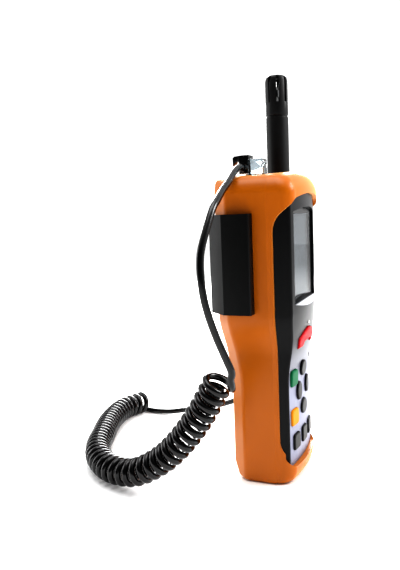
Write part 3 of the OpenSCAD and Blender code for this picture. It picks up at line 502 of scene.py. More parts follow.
def curl_line():
    """Points of the curls, and the directions in which their two ends run on."""
    axis = [Vector(p) for p in AXIS_ROUTE]
    n = len(axis) - 1
    radius = (CURL_D - LEAD_D) / 2
    full_turn = 360 * CURLS + HEAD_TURN - TAIL_TURN

    def point(share):
        v = share * n
        ahead, behind = min(n, v + LOOK_AHEAD), max(0, v - LOOK_AHEAD)
        forward = (along(axis, ahead) - along(axis, behind)).normalized()
        side = forward.cross(Vector((0, 0, 1))).normalized()
        other = forward.cross(side)
        a = math.radians(HEAD_TURN - share * full_turn)
        return along(axis, v) + radius * (side * math.cos(a) + other * math.sin(a))

    count = CURLS * STEPS_PER_CURL
    points = [point(k / count) for k in range(count + 1)]
    head = (point(END_STEP) - point(0)).normalized()
    tail = (point(1) - point(1 - END_STEP)).normalized()
    return points, head, tail


# %% The bend into the first curl
FALL = Vector((0.2, -0.1, -1)).normalized()
BEND_R = 2 * LEAD_D + 0.2
BEND_STEPS = 4


def head_bend(start, head):
    """The bend that brings the falling lead round into its first curl."""
    side = (head * head.dot(FALL) - FALL).normalized()
    turn = math.acos(head.dot(FALL))
    angles = [turn * i / BEND_STEPS for i in reversed(range(BEND_STEPS + 1))]
    return [start + BEND_R * (side * (1 - math.cos(a)) - head * math.sin(a)) for a in angles]


# %% The whole middle line
RUN_ON = 1.1 * LEAD_D
LEAVE_STRAIGHT, TAIL_STRAIGHT = Vector((4.5, 0, 0)), 4
RUN_STEPS = 8


def lead_line():
    """The whole lead's middle line, in millimetres."""
    curls, head, tail = curl_line()
    start = curls[0] - RUN_ON * head
    end = curls[-1] + RUN_ON * tail
    upper = [LEAD_LEAVES, LEAD_LEAVES - LEAVE_STRAIGHT] + [Vector(p) for p in UPPER_ROUTE]
    upper += head_bend(start, head)
    lower = [end, end + TAIL_STRAIGHT * tail] + [Vector(p) for p in LOWER_ROUTE] + LEAD_ARRIVES
    return run(upper, RUN_STEPS) + curls + run(lower, RUN_STEPS)


# %% [markdown]
# ### The jacket
# A round jacket along a line is what Geometry Nodes are good at: the mesh line becomes a curve,
# a circle is swept along it, and the ends are closed. A curve object with a bevel would do too,
# but the tree's named inputs let the reader change the radius and the number of sides. The
# export drops instances, so the tree ends in Realize Instances and Set Material.

# %% The jacket's node tree
JACKET_SIDES = 16


def jacket_tree(surface):
    """Geometry nodes that give a line a round jacket with closed ends."""
    tree = bpy.data.node_groups.new("Lead jacket", "GeometryNodeTree")
    face = tree.interface
    face.new_socket("Line", in_out="INPUT", socket_type="NodeSocketGeometry")
    face.new_socket("Radius", in_out="INPUT", socket_type="NodeSocketFloat")
    face.new_socket("Sides", in_out="INPUT", socket_type="NodeSocketInt")
    face.new_socket("Jacket", in_out="OUTPUT", socket_type="NodeSocketGeometry")
    given = tree.nodes.new("NodeGroupInput").outputs
    line = add(tree, "GeometryNodeMeshToCurve", {"Mesh": given["Line"]})
    ring = add(
        tree,
        "GeometryNodeCurvePrimitiveCircle",
        {"Resolution": given["Sides"], "Radius": given["Radius"]},
    )
    tube = add(
        tree,
        "GeometryNodeCurveToMesh",
        {"Curve": line.outputs["Curve"], "Profile Curve": ring.outputs["Curve"], "Fill Caps": True},
    )
    soft = add(tree, "GeometryNodeSetShadeSmooth", {"Geometry": tube.outputs["Mesh"]})
    real = add(tree, "GeometryNodeRealizeInstances", {"Geometry": soft.outputs["Geometry"]})
    painted = add(
        tree, "GeometryNodeSetMaterial", {"Geometry": real.outputs["Geometry"], "Material": surface}
    )
    out = tree.nodes.new("NodeGroupOutput")
    tree.links.new(painted.outputs["Geometry"], out.inputs["Jacket"])
    return tree


# %% Make the lead
SHORTEST_STEP = 0.01


def make_lead():
    """The lead as one tube along its whole line."""
    line = lead_line()
    steps = [(b - a).length for a, b in zip(line, line[1:])]
    line = line[:1] + [p for p, step in zip(line[1:], steps) if step > SHORTEST_STEP]
    mesh = bpy.data.meshes.new("lead")
    mesh.from_pydata([p * MM for p in line], [(i, i + 1) for i in range(len(line) - 1)], [])
    lead = bpy.data.objects.new("lead", mesh)
    bpy.context.scene.collection.objects.link(lead)
    step = lead.modifiers.new("jacket", "NODES")
    step.node_group = jacket_tree(PVC)
    sockets = step.node_group.interface.items_tree
    step[sockets["Radius"].identifier] = LEAD_D / 2 * MM
    step[sockets["Sides"].identifier] = JACKET_SIDES
    baked(lead)
    show(lead, "meter", PVC, "black_pvc", "lead_upper", "lead_curl", "lead_lower")


make_lead()

# %% [markdown]
# ## The overmould
# The orange skin is thermoplastic rubber, moulded over the hard shell. It is soft enough to be
# matt, and it holds a fine dust of grain. At grazing angles such rubber looks paler, which a
# sheen in its own colour gives. A glossier setting would look like painted plastic.

# %% The rubber
ORANGE = finish(
    "Orange TPE", "#c06802", rough=0.34, grain=0.35, depth=0.012, mottle=0.06,
    Specular_IOR_Level=0.3, Sheen_Weight=0.9, Sheen_Roughness=0.3, Sheen_Tint=(1, 0.66, 0.26, 1),
)

# %% [markdown]
# ### The skin's section
# A cut across the body shows, from front to back: the crowned front, a round corner, a small
# ledge where the mould halves meet, a flat side, a slanted bevel and the flat back. One half is
# listed point by point and mirrored. The number of points is the same at every height, so that
# the loft can join them.

# %% One section
BEVEL_X, BEVEL_Y = 9.5, 10.5
RIDGE_Y, RIDGE_GAP, LIP, CORNER_R = 10.5, 0.4, 1, 9
LEDGE_BEND = ((-0.3, -0.6), (0, -0.1), (0, 0.7))
SHOULDER_BEND = ((0, -2), (0, 0), (-1.4, 1.6))
BACK_BEND = ((1.5, -1.7), (0, 0), (-2, 0))
LEDGE_STEPS, BEND_POINTS, FRONT_STEPS, CORNER_STEPS, BACK_STEPS = 3, 6, 10, 18, 4


def bend(x, y, offsets, steps):
    """Points of a soft corner near (x, y), from the first offset to the last."""
    a, b, c = [(x + dx, y + dy) for dx, dy in offsets]
    ts = [i / steps for i in range(steps + 1)]
    return [
        tuple((1 - t) ** 2 * a[k] + 2 * t * (1 - t) * b[k] + t * t * c[k] for k in (0, 1)) for t in ts
    ]


def body_half(w, front, back, shoulder):
    """Half of the overmould's section, from the middle of its front to the middle of its back."""
    side = w - CORNER_R
    turn = front + crown(side) + CORNER_R
    kink = max(-RIDGE_Y, turn + RIDGE_GAP)
    flat = w - BEVEL_X * (back - shoulder) / BEVEL_Y
    crowned = [
        (side * i / FRONT_STEPS, front + crown(side * i / FRONT_STEPS)) for i in range(FRONT_STEPS)
    ]
    turns = [math.radians(90 * i / CORNER_STEPS) for i in range(CORNER_STEPS + 1)]
    corner = [
        (
            side + (CORNER_R - LIP) * math.sin(a),
            front + crown(side) + CORNER_R * (1 - math.cos(a)),
        )
        for a in turns
    ]
    ledge = bend(w, kink, LEDGE_BEND, LEDGE_STEPS)
    upper = bend(w, shoulder, SHOULDER_BEND, BEND_POINTS)
    lower = bend(flat, back, BACK_BEND, BEND_POINTS)
    rear = [(flat * i / BACK_STEPS, back) for i in reversed(range(BACK_STEPS))]
    return crowned + corner + ledge + upper + lower + rear


def body_ring(z, side=0, front=0, back=0, shoulder=0, arch=0):
    """The full section at a height, drawn in by the given amounts and arched downwards."""
    half = body_half(
        half_w(z) - side, front_y(z) + front, back_y(z) - back, back_y(z) - BEVEL_Y - shoulder
    )
    return [(x, y, z - arch * (2 * x / HEAD_W) ** 2) for x, y in mirrored(half)]


# %% [markdown]
# ### From the foot to the crest
# Foot and crest are rounded, each with another radius at the front, the sides and the back. A
# Bevel can only have one radius. So the last rings are drawn in, each by what its circle takes
# off at that height, and the rings are closer together where the curve is tighter.

# %% All sections
BASE_R, BASE_SIDE_R, BASE_FRONT, BASE_BACK = 10, 3, 7, 5
CREST_R, CREST_SIDE_R, CREST_FRONT, CREST_BACK_R, CREST_ARCH = 12, 10, 13, 4, 4
HEAD_RING_UP, HEAD_RING_ARCH = 55, CREST_ARCH / 4
FOOT_STEPS, NECK_STEPS, CREST_STEPS = 16, 24, 24


def tuck(depth, r):
    """How far a rounding of radius r draws in at a depth under the end."""
    return r - math.sqrt(r * r - (r - depth) ** 2) if depth < r else 0


def foot_ring(i):
    """One of the rings of the rounded foot."""
    a = math.radians(90 - 90 * i / FOOT_STEPS)
    z = BASE_R * (1 - math.sin(a))
    side = tuck(z, BASE_SIDE_R)
    back = BASE_BACK * (1 - z / BASE_R) + side
    return body_ring(z, side, BASE_FRONT * (1 - math.cos(a)), back, side)


def crest_ring(i):
    """One of the rings of the rounded crest."""
    a = math.radians(90 * i / CREST_STEPS)
    depth = CREST_R * (1 - math.sin(a))
    back = tuck(depth, CREST_BACK_R)
    side, front = tuck(depth, CREST_SIDE_R), CREST_FRONT * (1 - math.cos(a))
    return body_ring(BODY_H - depth, side, front, back, back, CREST_ARCH)


def body_rings():
    """Rings from the rounded foot, up the neck, to the rounded crest."""
    low = NECK_LOW - BACK_LEAD
    neck = [body_ring(low + i * (NECK_HIGH - low) / NECK_STEPS) for i in range(NECK_STEPS + 1)]
    head = [body_ring(NECK_HIGH + HEAD_RING_UP, arch=HEAD_RING_ARCH)]
    feet = [foot_ring(i) for i in range(FOOT_STEPS + 1)]
    return feet + neck + head + [crest_ring(i) for i in range(CREST_STEPS + 1)]


# %% [markdown]
# ### What is cut out of the skin
# From the front the skin is open where the black face lies. From the side it sweeps back from
# the brow to the seam and forward again to the cradle. Two prisms take this away: one with the
# face's outline, seen from the front, and one with the sweep, seen from the side.

# %% The opening seen from the side
CRADLE_TOP, BROW_LOW, BROW_ARCH = 11.5, 189, 5
SWEEP_UNDER_BROW, SWEEP_OVER_CRADLE = 24, 19
BROW_SWEEP_R, CRADLE_SWEEP_R, SWEEP_TURN, SWEEP_END = 15, 14, 50, 2
SWEEP_STEPS = 16


def side_profile():
    """Side view of the opening in front of the seam, from the brow down to the cradle."""
    far = REACH - SEAM_Y - SWEEP_END
    top, low = BROW_LOW - SWEEP_UNDER_BROW, CRADLE_TOP + SWEEP_OVER_CRADLE
    turn = math.radians(SWEEP_TURN)
    angles = [turn * i / SWEEP_STEPS for i in range(SWEEP_STEPS + 1)]

    def reach(r):
        return r * math.sin(turn) + (far - r * (1 - math.cos(turn))) / math.tan(turn)

    def sweep(r, start, way, turns):
        return [(-SEAM_Y - r * (1 - math.cos(a)), start + way * r * math.sin(a)) for a in turns]

    brow = sweep(BROW_SWEEP_R, top, 1, angles)
    cradle = sweep(CRADLE_SWEEP_R, low, -1, reversed(angles))
    ends = [(-SEAM_Y - far, top + reach(BROW_SWEEP_R)), (-SEAM_Y - far, low - reach(CRADLE_SWEEP_R))]
    return brow + ends + cradle


# %% The opening seen from the front
FACE_FOOT_R, BROW_CORNER_R = 7, 7
OUTLINE_STEPS, FOOT_CORNER_STEPS, BROW_STEPS = 16, 15, 30


def brow_z(x, d):
    """The height of the brow's lower edge, grown by d."""
    w = face_half(BODY_H) + d
    e = max(0, abs(x) - (w - BROW_CORNER_R))
    corner = BROW_CORNER_R * (1 - math.sqrt(max(0, 1 - (e / BROW_CORNER_R) ** 2)))
    return BROW_LOW + d - BROW_ARCH * (x / w) ** 2 - corner


def foot_corner(right, foot, r):
    """A round lower corner of an outline, from the foot to the right side."""
    turns = [math.radians(90 * i / FOOT_CORNER_STEPS - 90) for i in range(FOOT_CORNER_STEPS + 1)]
    return [(right - r + r * math.cos(a), foot + r + r * math.sin(a)) for a in turns]


def face_outline(d):
    """Front view of the face, grown by d."""
    half = [(0, CRADLE_TOP - d)]
    half += foot_corner(face_half(CRADLE_TOP) + d, CRADLE_TOP - d, FACE_FOOT_R)
    rise = (NECK_HIGH - NECK_LOW) / OUTLINE_STEPS
    half += [
        (face_half(NECK_LOW + i * rise) + d, NECK_LOW + i * rise) for i in range(OUTLINE_STEPS + 1)
    ]
    w = face_half(BODY_H) + d
    xs = [w * math.cos(math.radians(90 * i / BROW_STEPS)) for i in range(BROW_STEPS + 1)]
    half += [(x, brow_z(x, d)) for x in xs]
    return mirrored(half)


# %% [markdown]
# ### Rooms behind the skin
# The rubber is 2.8 mm thick, and the hard shell fills what is behind it. So the skin is hollowed
# with forms that repeat the hard shell, and it has holes for the door, the screws, the tripod
# thread, the two windows in the top and the jack. They are seen from behind and from above.

# %% The hard shell's room
SKIN, FIT = 2.8, 0.15
FOOT_SKIN, TOP_SKIN = 4, 3
CREST_POINTS = 24
HEAD_ROOM_LOW, CREST_ROOM_LOW, CREST_ROOM_FRONT = NECK_HIGH - 1, NECK_HIGH - 2, -SEAM_Y - 2


def bevel_section(w, back, d, front):
    """The section of the hard shell: a box with slanted rear corners, drawn in by d."""
    slope = math.hypot(BEVEL_X, BEVEL_Y)
    ys = back - BEVEL_Y + d * (BEVEL_Y - slope) / BEVEL_X
    xb = w - BEVEL_X + d * (BEVEL_X - slope) / BEVEL_Y
    right = [(w - d, -front), (w - d, ys), (xb, back - d)]
    return [(-(w - d), -front)] + right + [(-xb, back - d), (-(w - d), ys)]


def crest_outline(d, top, low):
    """Front view of the head's room under the arched crest."""
    w, r = HEAD_W / 2 - d, CREST_SIDE_R - 1
    xs = [w * math.cos(math.pi * i / (2 * CREST_POINTS)) for i in range(2 * CREST_POINTS + 1)]
    dips = [math.sqrt(max(0, 1 - (max(0, abs(x) - (w - r)) / r) ** 2)) for x in xs]
    arch = [(x, top - CREST_ARCH * (x / w) ** 2 - r * (1 - dip)) for x, dip in zip(xs, dips)]
    return [(-w, low), (w, low)] + arch


def foot_slope(d):
    """What the slope over the foot takes off the grip's back, drawn in by d."""
    low, high = GRIP_BACK - d - BASE_BACK, GRIP_BACK - d
    outline = [(low, 0), (high, BASE_R), (BACK_REACH, BASE_R), (BACK_REACH, -1), (low, -1)]
    return prism("foot_slope", outline, "X", -GRIP_W, GRIP_W)


def shell_rooms():
    """The rooms of the hard shell in the head and in the grip."""
    section = bevel_section(HEAD_W / 2, HEAD_BACK, SKIN, SEAM_Y)
    head = prism("head_room", section, "Z", HEAD_ROOM_LOW, BODY_H - 1)
    outline = crest_outline(SKIN, BODY_H - TOP_SKIN, CREST_ROOM_LOW)
    crest = prism("crest_room", outline, "Y", CREST_ROOM_FRONT, HEAD_BACK)
    cut(head, crest, operation="INTERSECT")
    section = bevel_section(GRIP_W / 2, GRIP_BACK, SKIN, SEAM_Y)
    grip = prism("grip_room", section, "Z", FOOT_SKIN, NECK_HIGH)
    cut(grip, foot_slope(SKIN))
    return [head, grip]


# %% Holes in the back and the top
GAP = 0.3
DOOR_W, DOOR_LOW, DOOR_HIGH = 35, 11, 77
TRIPOD_Z, TRIPOD_R, TRIPOD_WALL = 91, 3.175, 5
SCREWS = [(-27, 166), (27, 166), (-22, 105), (22, 105)]
SCREW_ROOM_R = 3.3
IR_X, IR_Y, IR_R, BARREL_WALL = 19, 4, 5.5, 1.6
LASER_X, LASER_Y, LASER_R = 6.5, -6, 3
JACK_WALL = 1.3
TOP_CUT_LOW, TOP_CUT_HIGH = BODY_H - 20, BODY_H + 1


def back_rooms():
    """Cutters for the door, the screws and the tripod thread."""
    half = DOOR_W / 2 + GAP
    door = block("door_room", (-half, 0, DOOR_LOW - GAP), (half, BACK_REACH, DOOR_HIGH + GAP))
    screws = [drum("screw_room", "Y", spot, SCREW_ROOM_R, 0, BACK_REACH) for spot in SCREWS]
    tripod = drum("tripod_room", "Y", (0, TRIPOD_Z), TRIPOD_R + TRIPOD_WALL + FIT, 0, BACK_REACH)
    return [door] + screws + [tripod]


def top_rooms():
    """Cutters for the infrared barrel, the aiming light and the jack."""
    ir_r = IR_R + BARREL_WALL + FIT
    ir = drum("ir_room", "Z", (IR_X, IR_Y), ir_r, TOP_CUT_LOW, TOP_CUT_HIGH)
    laser = drum("laser_room", "Z", (LASER_X, LASER_Y), LASER_R + FIT, TOP_CUT_LOW, TOP_CUT_HIGH)
    wide, deep = PLUG_W / 2 + JACK_WALL + FIT, PLUG_T / 2 + JACK_WALL + FIT
    low = (PLUG_X - wide, PLUG_Y - deep, TOP_CUT_LOW)
    high = (PLUG_X + wide, PLUG_Y + deep, TOP_CUT_HIGH)
    return [ir, laser, block("jack_room", low, high)]


# %% Make the overmould
SKIN_EDGE, SKIN_ANGLE = 0.35, 40


def make_overmould():
    """The orange skin, cut open for the face, the hard shell and the fittings."""
    skin = loft("overmould_skin", body_rings())
    bay = prism("bay", side_profile(), "X", -REACH, REACH)
    face = prism("face", face_outline(0), "Y", -REACH, -SEAM_Y)
    cut(skin, bay, face, *shell_rooms(), *back_rooms(), *top_rooms())
    smoothed(eased(skin, SKIN_EDGE, 2, SKIN_ANGLE))
    return show(baked(skin), "meter", ORANGE, "orange_tpe", "overmould")


make_overmould()

# %% [markdown]
# ## Keys
# The keys are silicone rubber, moulded in one colour each. Silicone is matt with a weak gloss,
# and its grain can hardly be seen, so the colour does the work. Green and amber lie on the left
# edge, the red one is the broad arrow head under the window, and the others are dark.

# %% Silicone
RED_RUBBER = finish(
    "Red silicone", "#c00f1c", rough=0.5, grain=0.3, depth=0.006, mottle=0.06,
    Specular_IOR_Level=0.15,
)
GREEN_RUBBER = finish(
    "Green silicone", "#056a42", rough=0.5, grain=0.3, depth=0.006, mottle=0.06,
    Specular_IOR_Level=0.15,
)
AMBER_RUBBER = finish(
    "Amber silicone", "#e8900a", rough=0.5, grain=0.3, depth=0.006, mottle=0.06,
    Specular_IOR_Level=0.15,
)
DARK_RUBBER = finish(
    "Dark silicone", "#08090a", rough=0.4, grain=0.3, depth=0.006, mottle=0.1,
    Specular_IOR_Level=0.2,
)

# %% Where the keys are
NAV_Z, NAV_UP, NAV_SIDE = 58.7, 13.2, 10.2
COLOUR_X, GREEN_Z, AMBER_Z = 19.8, 69.4, 43.4
LOW_PITCH, LOW_Z = 17, 26.2
POWER_Z = 100.5
KEYS = [
    ("power_key", 0, POWER_Z, "shield", RED_RUBBER, "red_silicone"),
    ("nav_up_key", 0, NAV_Z + NAV_UP, "wide", DARK_RUBBER, "dark_silicone"),
    ("nav_down_key", 0, NAV_Z - NAV_UP, "wide", DARK_RUBBER, "dark_silicone"),
    ("nav_left_key", -NAV_SIDE, NAV_Z, "tall", DARK_RUBBER, "dark_silicone"),
    ("nav_right_key", NAV_SIDE, NAV_Z, "tall", DARK_RUBBER, "dark_silicone"),
    ("green_key", -COLOUR_X, GREEN_Z, "square", GREEN_RUBBER, "green_silicone"),
    ("amber_key", -COLOUR_X, AMBER_Z, "square", AMBER_RUBBER, "amber_silicone"),
    ("low_left_key", -LOW_PITCH, LOW_Z, "square", DARK_RUBBER, "dark_silicone"),
    ("low_mid_key", 0, LOW_Z, "square", DARK_RUBBER, "dark_silicone"),
    ("low_right_key", LOW_PITCH, LOW_Z, "square", DARK_RUBBER, "dark_silicone"),
]
print("keys:", len(KEYS))

# %% [markdown]
# ### Outlines of the keys
# Three outlines are enough: an oval, a square with round corners, and a broad arrow head with
# its peak at the top and two feet. Each can grow by a distance d. The same function then gives
# the key, the rim behind it and the hole in the housing, with the gap between them.

# %% Outlines
WIDE_KEY, TALL_KEY, SQUARE_KEY, SQUARE_R = (13, 10.4), (9.6, 12.4), (11.2, 10.6), 2.2
POWER_W, POWER_H, SHIELD_DROP, SHIELD_FOOT = 36, 9, 5.5, 3
SHIELD_POWER, SHIELD_FOOT_AT, SHIELD_FOOT_SPAN = 1.6, 0.4, 0.25
OVAL_STEPS, SHIELD_STEPS, ROUND_STEP = 48, 24, 10


def oval(size, d):
    """An oval of the given width and height, grown by d."""
    w, h = size
    turns = [math.tau * i / OVAL_STEPS for i in range(OVAL_STEPS)]
    return [((w + 2 * d) / 2 * math.cos(a), (h + 2 * d) / 2 * math.sin(a)) for a in turns]


def rounded(size, r, d):
    """A rectangle with round corners, grown by d."""
    w, h = size
    corners = ((1, 1), (-1, 1), (-1, -1), (1, -1))
    return [
        (
            sx * (w / 2 - r) + (r + d) * math.cos(math.radians(90 * q + a)),
            sy * (h / 2 - r) + (r + d) * math.sin(math.radians(90 * q + a)),
        )
        for q, (sx, sy) in enumerate(corners)
        for a in range(0, 91, ROUND_STEP)
    ]


def shield(d):
    """A broad arrow head with its peak at the top and two feet, grown by d."""
    w, n = POWER_W / 2 + d, SHIELD_STEPS
    upper = [
        (w * i / n, d - SHIELD_DROP * (abs(i) / n) ** SHIELD_POWER) for i in range(n, -n - 1, -1)
    ]
    lower = [
        (
            w * i / n,
            -POWER_H - d - SHIELD_FOOT * smooth((abs(i) / n - SHIELD_FOOT_AT) / SHIELD_FOOT_SPAN),
        )
        for i in range(-n, n + 1)
    ]
    return upper + lower


def key_outline(kind, d):
    """The outline of a kind of key, grown by d."""
    if kind == "shield":
        return shield(d)
    if kind == "square":
        return rounded(SQUARE_KEY, SQUARE_R, d)
    return oval(WIDE_KEY if kind == "wide" else TALL_KEY, d)


# %% [markdown]
# ### A key's rings
# A key could be a prism with a Bevel, but its top has to follow the crowned and sloping face.
# So it is a loft of its outline: a rim that the housing holds back, the stem, a quarter circle
# for the soft edge, and smaller outlines that carry the crown to the middle of the top.

# %% Make the keys
KEY_PROUD, KEY_RIM, KEY_EDGE_R, KEY_EDGE_STEPS = 1.4, 0.6, 0.9, 6
KEY_FLOOR_Y, DISPLAY_FLOOR_Y = 18.2, 20.3
SHIELD_MIDDLE, SLOPE_SPAN = 0.6, 4
SHIELD_INSETS = (1.6, 2.3, 3)
TOP_SHARES = (0.8, 0.55, 0.3, 0.08)
KEY_ANGLE = 40


def top_outlines(kind):
    """Smaller and smaller outlines over the top of a key."""
    if kind == "shield":
        return [key_outline(kind, -d) for d in SHIELD_INSETS]
    top = key_outline(kind, -KEY_EDGE_R)
    return [[(u * share, v * share) for u, v in top] for share in TOP_SHARES]


def make_key(name, x, z, kind, surface, slot):
    """A key, from the rim behind the face, over the soft edge, to the middle of the top."""
    middle = z - POWER_H * SHIELD_MIDDLE if kind == "shield" else z
    slope = (face_y(middle + SLOPE_SPAN) - face_y(middle - SLOPE_SPAN)) / (2 * SLOPE_SPAN)
    seat = -(DISPLAY_FLOOR_Y if z > NECK_LOW else KEY_FLOOR_Y) + FIT
    crown_r = CROWN_R if kind == "shield" else GRIP_CROWN_R

    def flat_ring(outline, y):
        return [(x + u, y, z + v) for u, v in outline]

    def top_ring(outline, rise):
        lifted = [(x + u, z + v) for u, v in outline]
        return [
            (px, face_y(middle) + slope * (pz - middle) + crown(px, crown_r) - rise, pz)
            for px, pz in lifted
        ]

    stem = key_outline(kind, 0)
    rim = key_outline(kind, KEY_RIM)
    rings = [flat_ring(rim, seat + KEY_RIM), flat_ring(rim, seat), flat_ring(stem, seat)]
    for i in range(KEY_EDGE_STEPS + 1):
        a = math.radians(90 * i / KEY_EDGE_STEPS)
        inner = key_outline(kind, -KEY_EDGE_R * (1 - math.cos(a)))
        rings.append(top_ring(inner, KEY_PROUD - KEY_EDGE_R * (1 - math.sin(a))))
    rings += [top_ring(outline, KEY_PROUD) for outline in top_outlines(kind)]
    piece = smoothed(loft(name + "_cap", rings), KEY_ANGLE)
    return show(baked(piece), name, surface, slot, name)


for key in KEYS:
    make_key(*key)

# %% [markdown]
# ## The front housing
# The black front is satin ABS, moulded against a polished mould with the lightest texture, so
# it shows soft reflections. Over the keys it is painted silver, and the paint fades out upwards
# towards the red key. Paint sprayed through a mask could be a second piece, but it has no
# thickness, so it is a colour that the height and a mark on the front faces give.

# %% Satin ABS with fading paint
FRONT_MARK = "front_face"
PAINT = "#70717b"
FADE_LOW, FADE_HIGH = 77, 97
FACE_ABS = finish(
    "Black satin ABS", "#08090b", rough=0.34, grain=0.4, depth=0.006, mottle=0.1,
    Specular_IOR_Level=0.22,
)


def height_share(tree, start, end):
    """A socket that goes softly from 0 at one height to 1 at the other."""
    place = add(tree, "ShaderNodeTexCoord").outputs["Object"]
    height = add(tree, "ShaderNodeSeparateXYZ", {"Vector": place}).outputs["Z"]
    share = add(
        tree,
        "ShaderNodeMapRange",
        {"Value": height, "From Min": start * MM, "From Max": end * MM},
        interpolation_type="SMOOTHSTEP",
    )
    return share.outputs["Result"]


def recolour(material, share, colour):
    """Lets another colour take over where the share is 1."""
    tree = material.node_tree
    socket = tree.nodes["Principled BSDF"].inputs["Base Color"]
    mixed = add(
        tree,
        "ShaderNodeMix",
        {"Factor": share, "A": socket.links[0].from_socket, "B": linear(colour)},
        data_type="RGBA",
    )
    tree.links.new(mixed.outputs["Result"], socket)


def paint_front(material):
    """Silver paint on the marked faces, which fades out upwards."""
    tree = material.node_tree
    marked = add(tree, "ShaderNodeAttribute", attribute_name=FRONT_MARK)
    share = add(
        tree,
        "ShaderNodeMath",
        {0: height_share(tree, FADE_HIGH, FADE_LOW), 1: marked.outputs["Fac"]},
        operation="MULTIPLY",
    )
    recolour(material, share.outputs["Value"], PAINT)


paint_front(FACE_ABS)

# %% [markdown]
# ### Outlines on the face
# The window, the crescent under it and the key panel lie in shallow recesses. Each outline is a
# function with a distance to grow by, because the recess is a hair wider than what lies in it.

# %% Window, crescent and panel
LENS_W, LENS_LOW, LENS_HIGH, LENS_ARCH, LENS_T, LENS_Y = 54, 119.4, 177, 3, 1.5, 23.3
LENS_FOOT_ARCH, TRIM_H, TRIM_WIDER, TRIM_LOWER = 2.2, 5.2, 0.4, 0.5
PANEL_T, PANEL_CORNER_R, PANEL_EDGE, FACE_DRAFT = 0.7, 6, 0.4, 2.5
PANEL_FOOT, PANEL_HEAD = CRADLE_TOP + 1, NECK_LOW - 8
PANEL_SHOULDER = ((0, 5), (1.5, 1.6), (6, 0.4))
ARCH_SHARES = [i / 16 for i in range(-16, 17)]


def lens_outline(d):
    """Front view of the window, grown by d."""
    w = LENS_W / 2 + d
    foot = [(w * u, LENS_LOW - d + LENS_FOOT_ARCH * (1 - u * u)) for u in ARCH_SHARES]
    head = [(w * u, LENS_HIGH + d + LENS_ARCH * (1 - u * u)) for u in reversed(ARCH_SHARES)]
    return foot + head


def trim_outline(d):
    """Front view of the crescent, grown by d."""
    w, edge = LENS_W / 2 + TRIM_WIDER + d, LENS_LOW - TRIM_LOWER + d
    belly = LENS_FOOT_ARCH - TRIM_H
    upper = [(w * u, edge + LENS_FOOT_ARCH * (1 - u * u)) for u in ARCH_SHARES]
    lower = [(w * u, edge - 2 * d + belly * (1 - u * u)) for u in reversed(ARCH_SHARES[1:-1])]
    return upper + lower


def panel_outline(d):
    """Front view of the key panel, drawn in by d."""
    w = face_half(CRADLE_TOP) - FACE_DRAFT - PANEL_EDGE - d
    foot, top = PANEL_FOOT + d, PANEL_HEAD - d
    half = [(0, foot)] + foot_corner(w, foot, PANEL_CORNER_R)
    half += [(w - across, top - down) for across, down in PANEL_SHOULDER] + [(0, top)]
    return mirrored(half)


# %% [markdown]
# ### The shell and its openings
# The shell is a loft again: a crowned front with a soft edge and sides that lean in towards
# the front, as they must to come out of a mould. What lies outside the face's outline is cut
# off. Then come the rooms behind it and all openings.

# %% One ring of the shell
FACE_CORNER_R = 2
FACE_STEPS, FACE_CORNER_STEPS, CROWN_STEPS = 16, 6, 360


def face_ring(z):
    """One ring of the front housing: crowned face, soft edge and a drafted side."""
    seam, y = face_half(z) - 2 * FIT, face_y(z)
    edge = seam - FACE_DRAFT * (-y - SEAM_Y) / (FACE_HEAD - SEAM_Y)
    side = edge - FACE_CORNER_R
    xs = [side * i / FACE_STEPS for i in range(FACE_STEPS)]
    turns = [math.radians(90 * i / FACE_CORNER_STEPS) for i in range(FACE_CORNER_STEPS + 1)]
    half = [(x, y + face_crown(x, z)) for x in xs]
    half += [
        (
            side + FACE_CORNER_R * math.sin(a),
            y + face_crown(side, z) + FACE_CORNER_R * (1 - math.cos(a)),
        )
        for a in turns
    ]
    half += [(seam, -SEAM_Y), (0, -SEAM_Y)]
    return [(px, py, z) for px, py in mirrored(half)]


def crown_drum(face, radius, inset, low=0, high=BODY_H):
    """A tall cylinder whose front is the crown of a face."""
    return drum("crown", "Z", (0, radius - face), radius - inset, low, high, CROWN_STEPS)

# %% Openings of the shell
LCD_W, LCD_LOW = 41, LENS_LOW + 0.9
LCD_H = LENS_HIGH - 1.4 - LCD_LOW
VIEW_SIDE, VIEW_HEAD, VIEW_INSET = 1.5, 0.3, 0.4
LED_Z, LED_ROOM_R = POWER_Z + 3, 1.25
TRIM_DEPTH = 0.8


def key_tools(d):
    """Cutters for all key holes."""
    return [
        prism("key_hole", [(x + u, z + v) for u, v in key_outline(kind, d)], "Y", -REACH, -SEAM_Y + 1)
        for name, x, z, kind, surface, slot in KEYS
    ]


def window_tools():
    """The recess that holds the window, and the narrower opening behind it."""
    window = prism("window", lens_outline(FIT), "Y", -REACH, -LENS_Y + LENS_T)
    view = prism("view", lens_outline(-VIEW_INSET), "Y", -REACH, -SEAM_Y)
    half, top = LCD_W / 2 + VIEW_SIDE, LCD_LOW + LCD_H + VIEW_HEAD
    room = block("view_room", (-half, -REACH - 1, 0), (half, 0, top))
    cut(view, room, operation="INTERSECT")
    return [window, view]


def recess_tools():
    """The shallow recesses of the panel and the crescent, with the light's hole before them."""
    led = drum("led_hole", "Y", (0, LED_Z), LED_ROOM_R, -REACH, -SEAM_Y)
    panel = prism("panel_room", panel_outline(0), "Y", -REACH, -SEAM_Y)
    cut(panel, crown_drum(FACE_GRIP, GRIP_CROWN_R, PANEL_T))
    trim = prism("trim_room", trim_outline(FIT), "Y", -REACH, -SEAM_Y)
    cut(trim, crown_drum(FACE_HEAD, CROWN_R, TRIM_DEPTH))
    return [led, panel, trim]


# %% Make the front housing
WALL, ROOM_EXTRA, HEAD_ROOM_EXTRA = 2, 1, 0.2
SHELL_LOW, SHELL_STEPS, SHELL_EDGE, SHELL_ANGLE = 2, 24, 0.25, 40
FACES_FRONT = -0.8


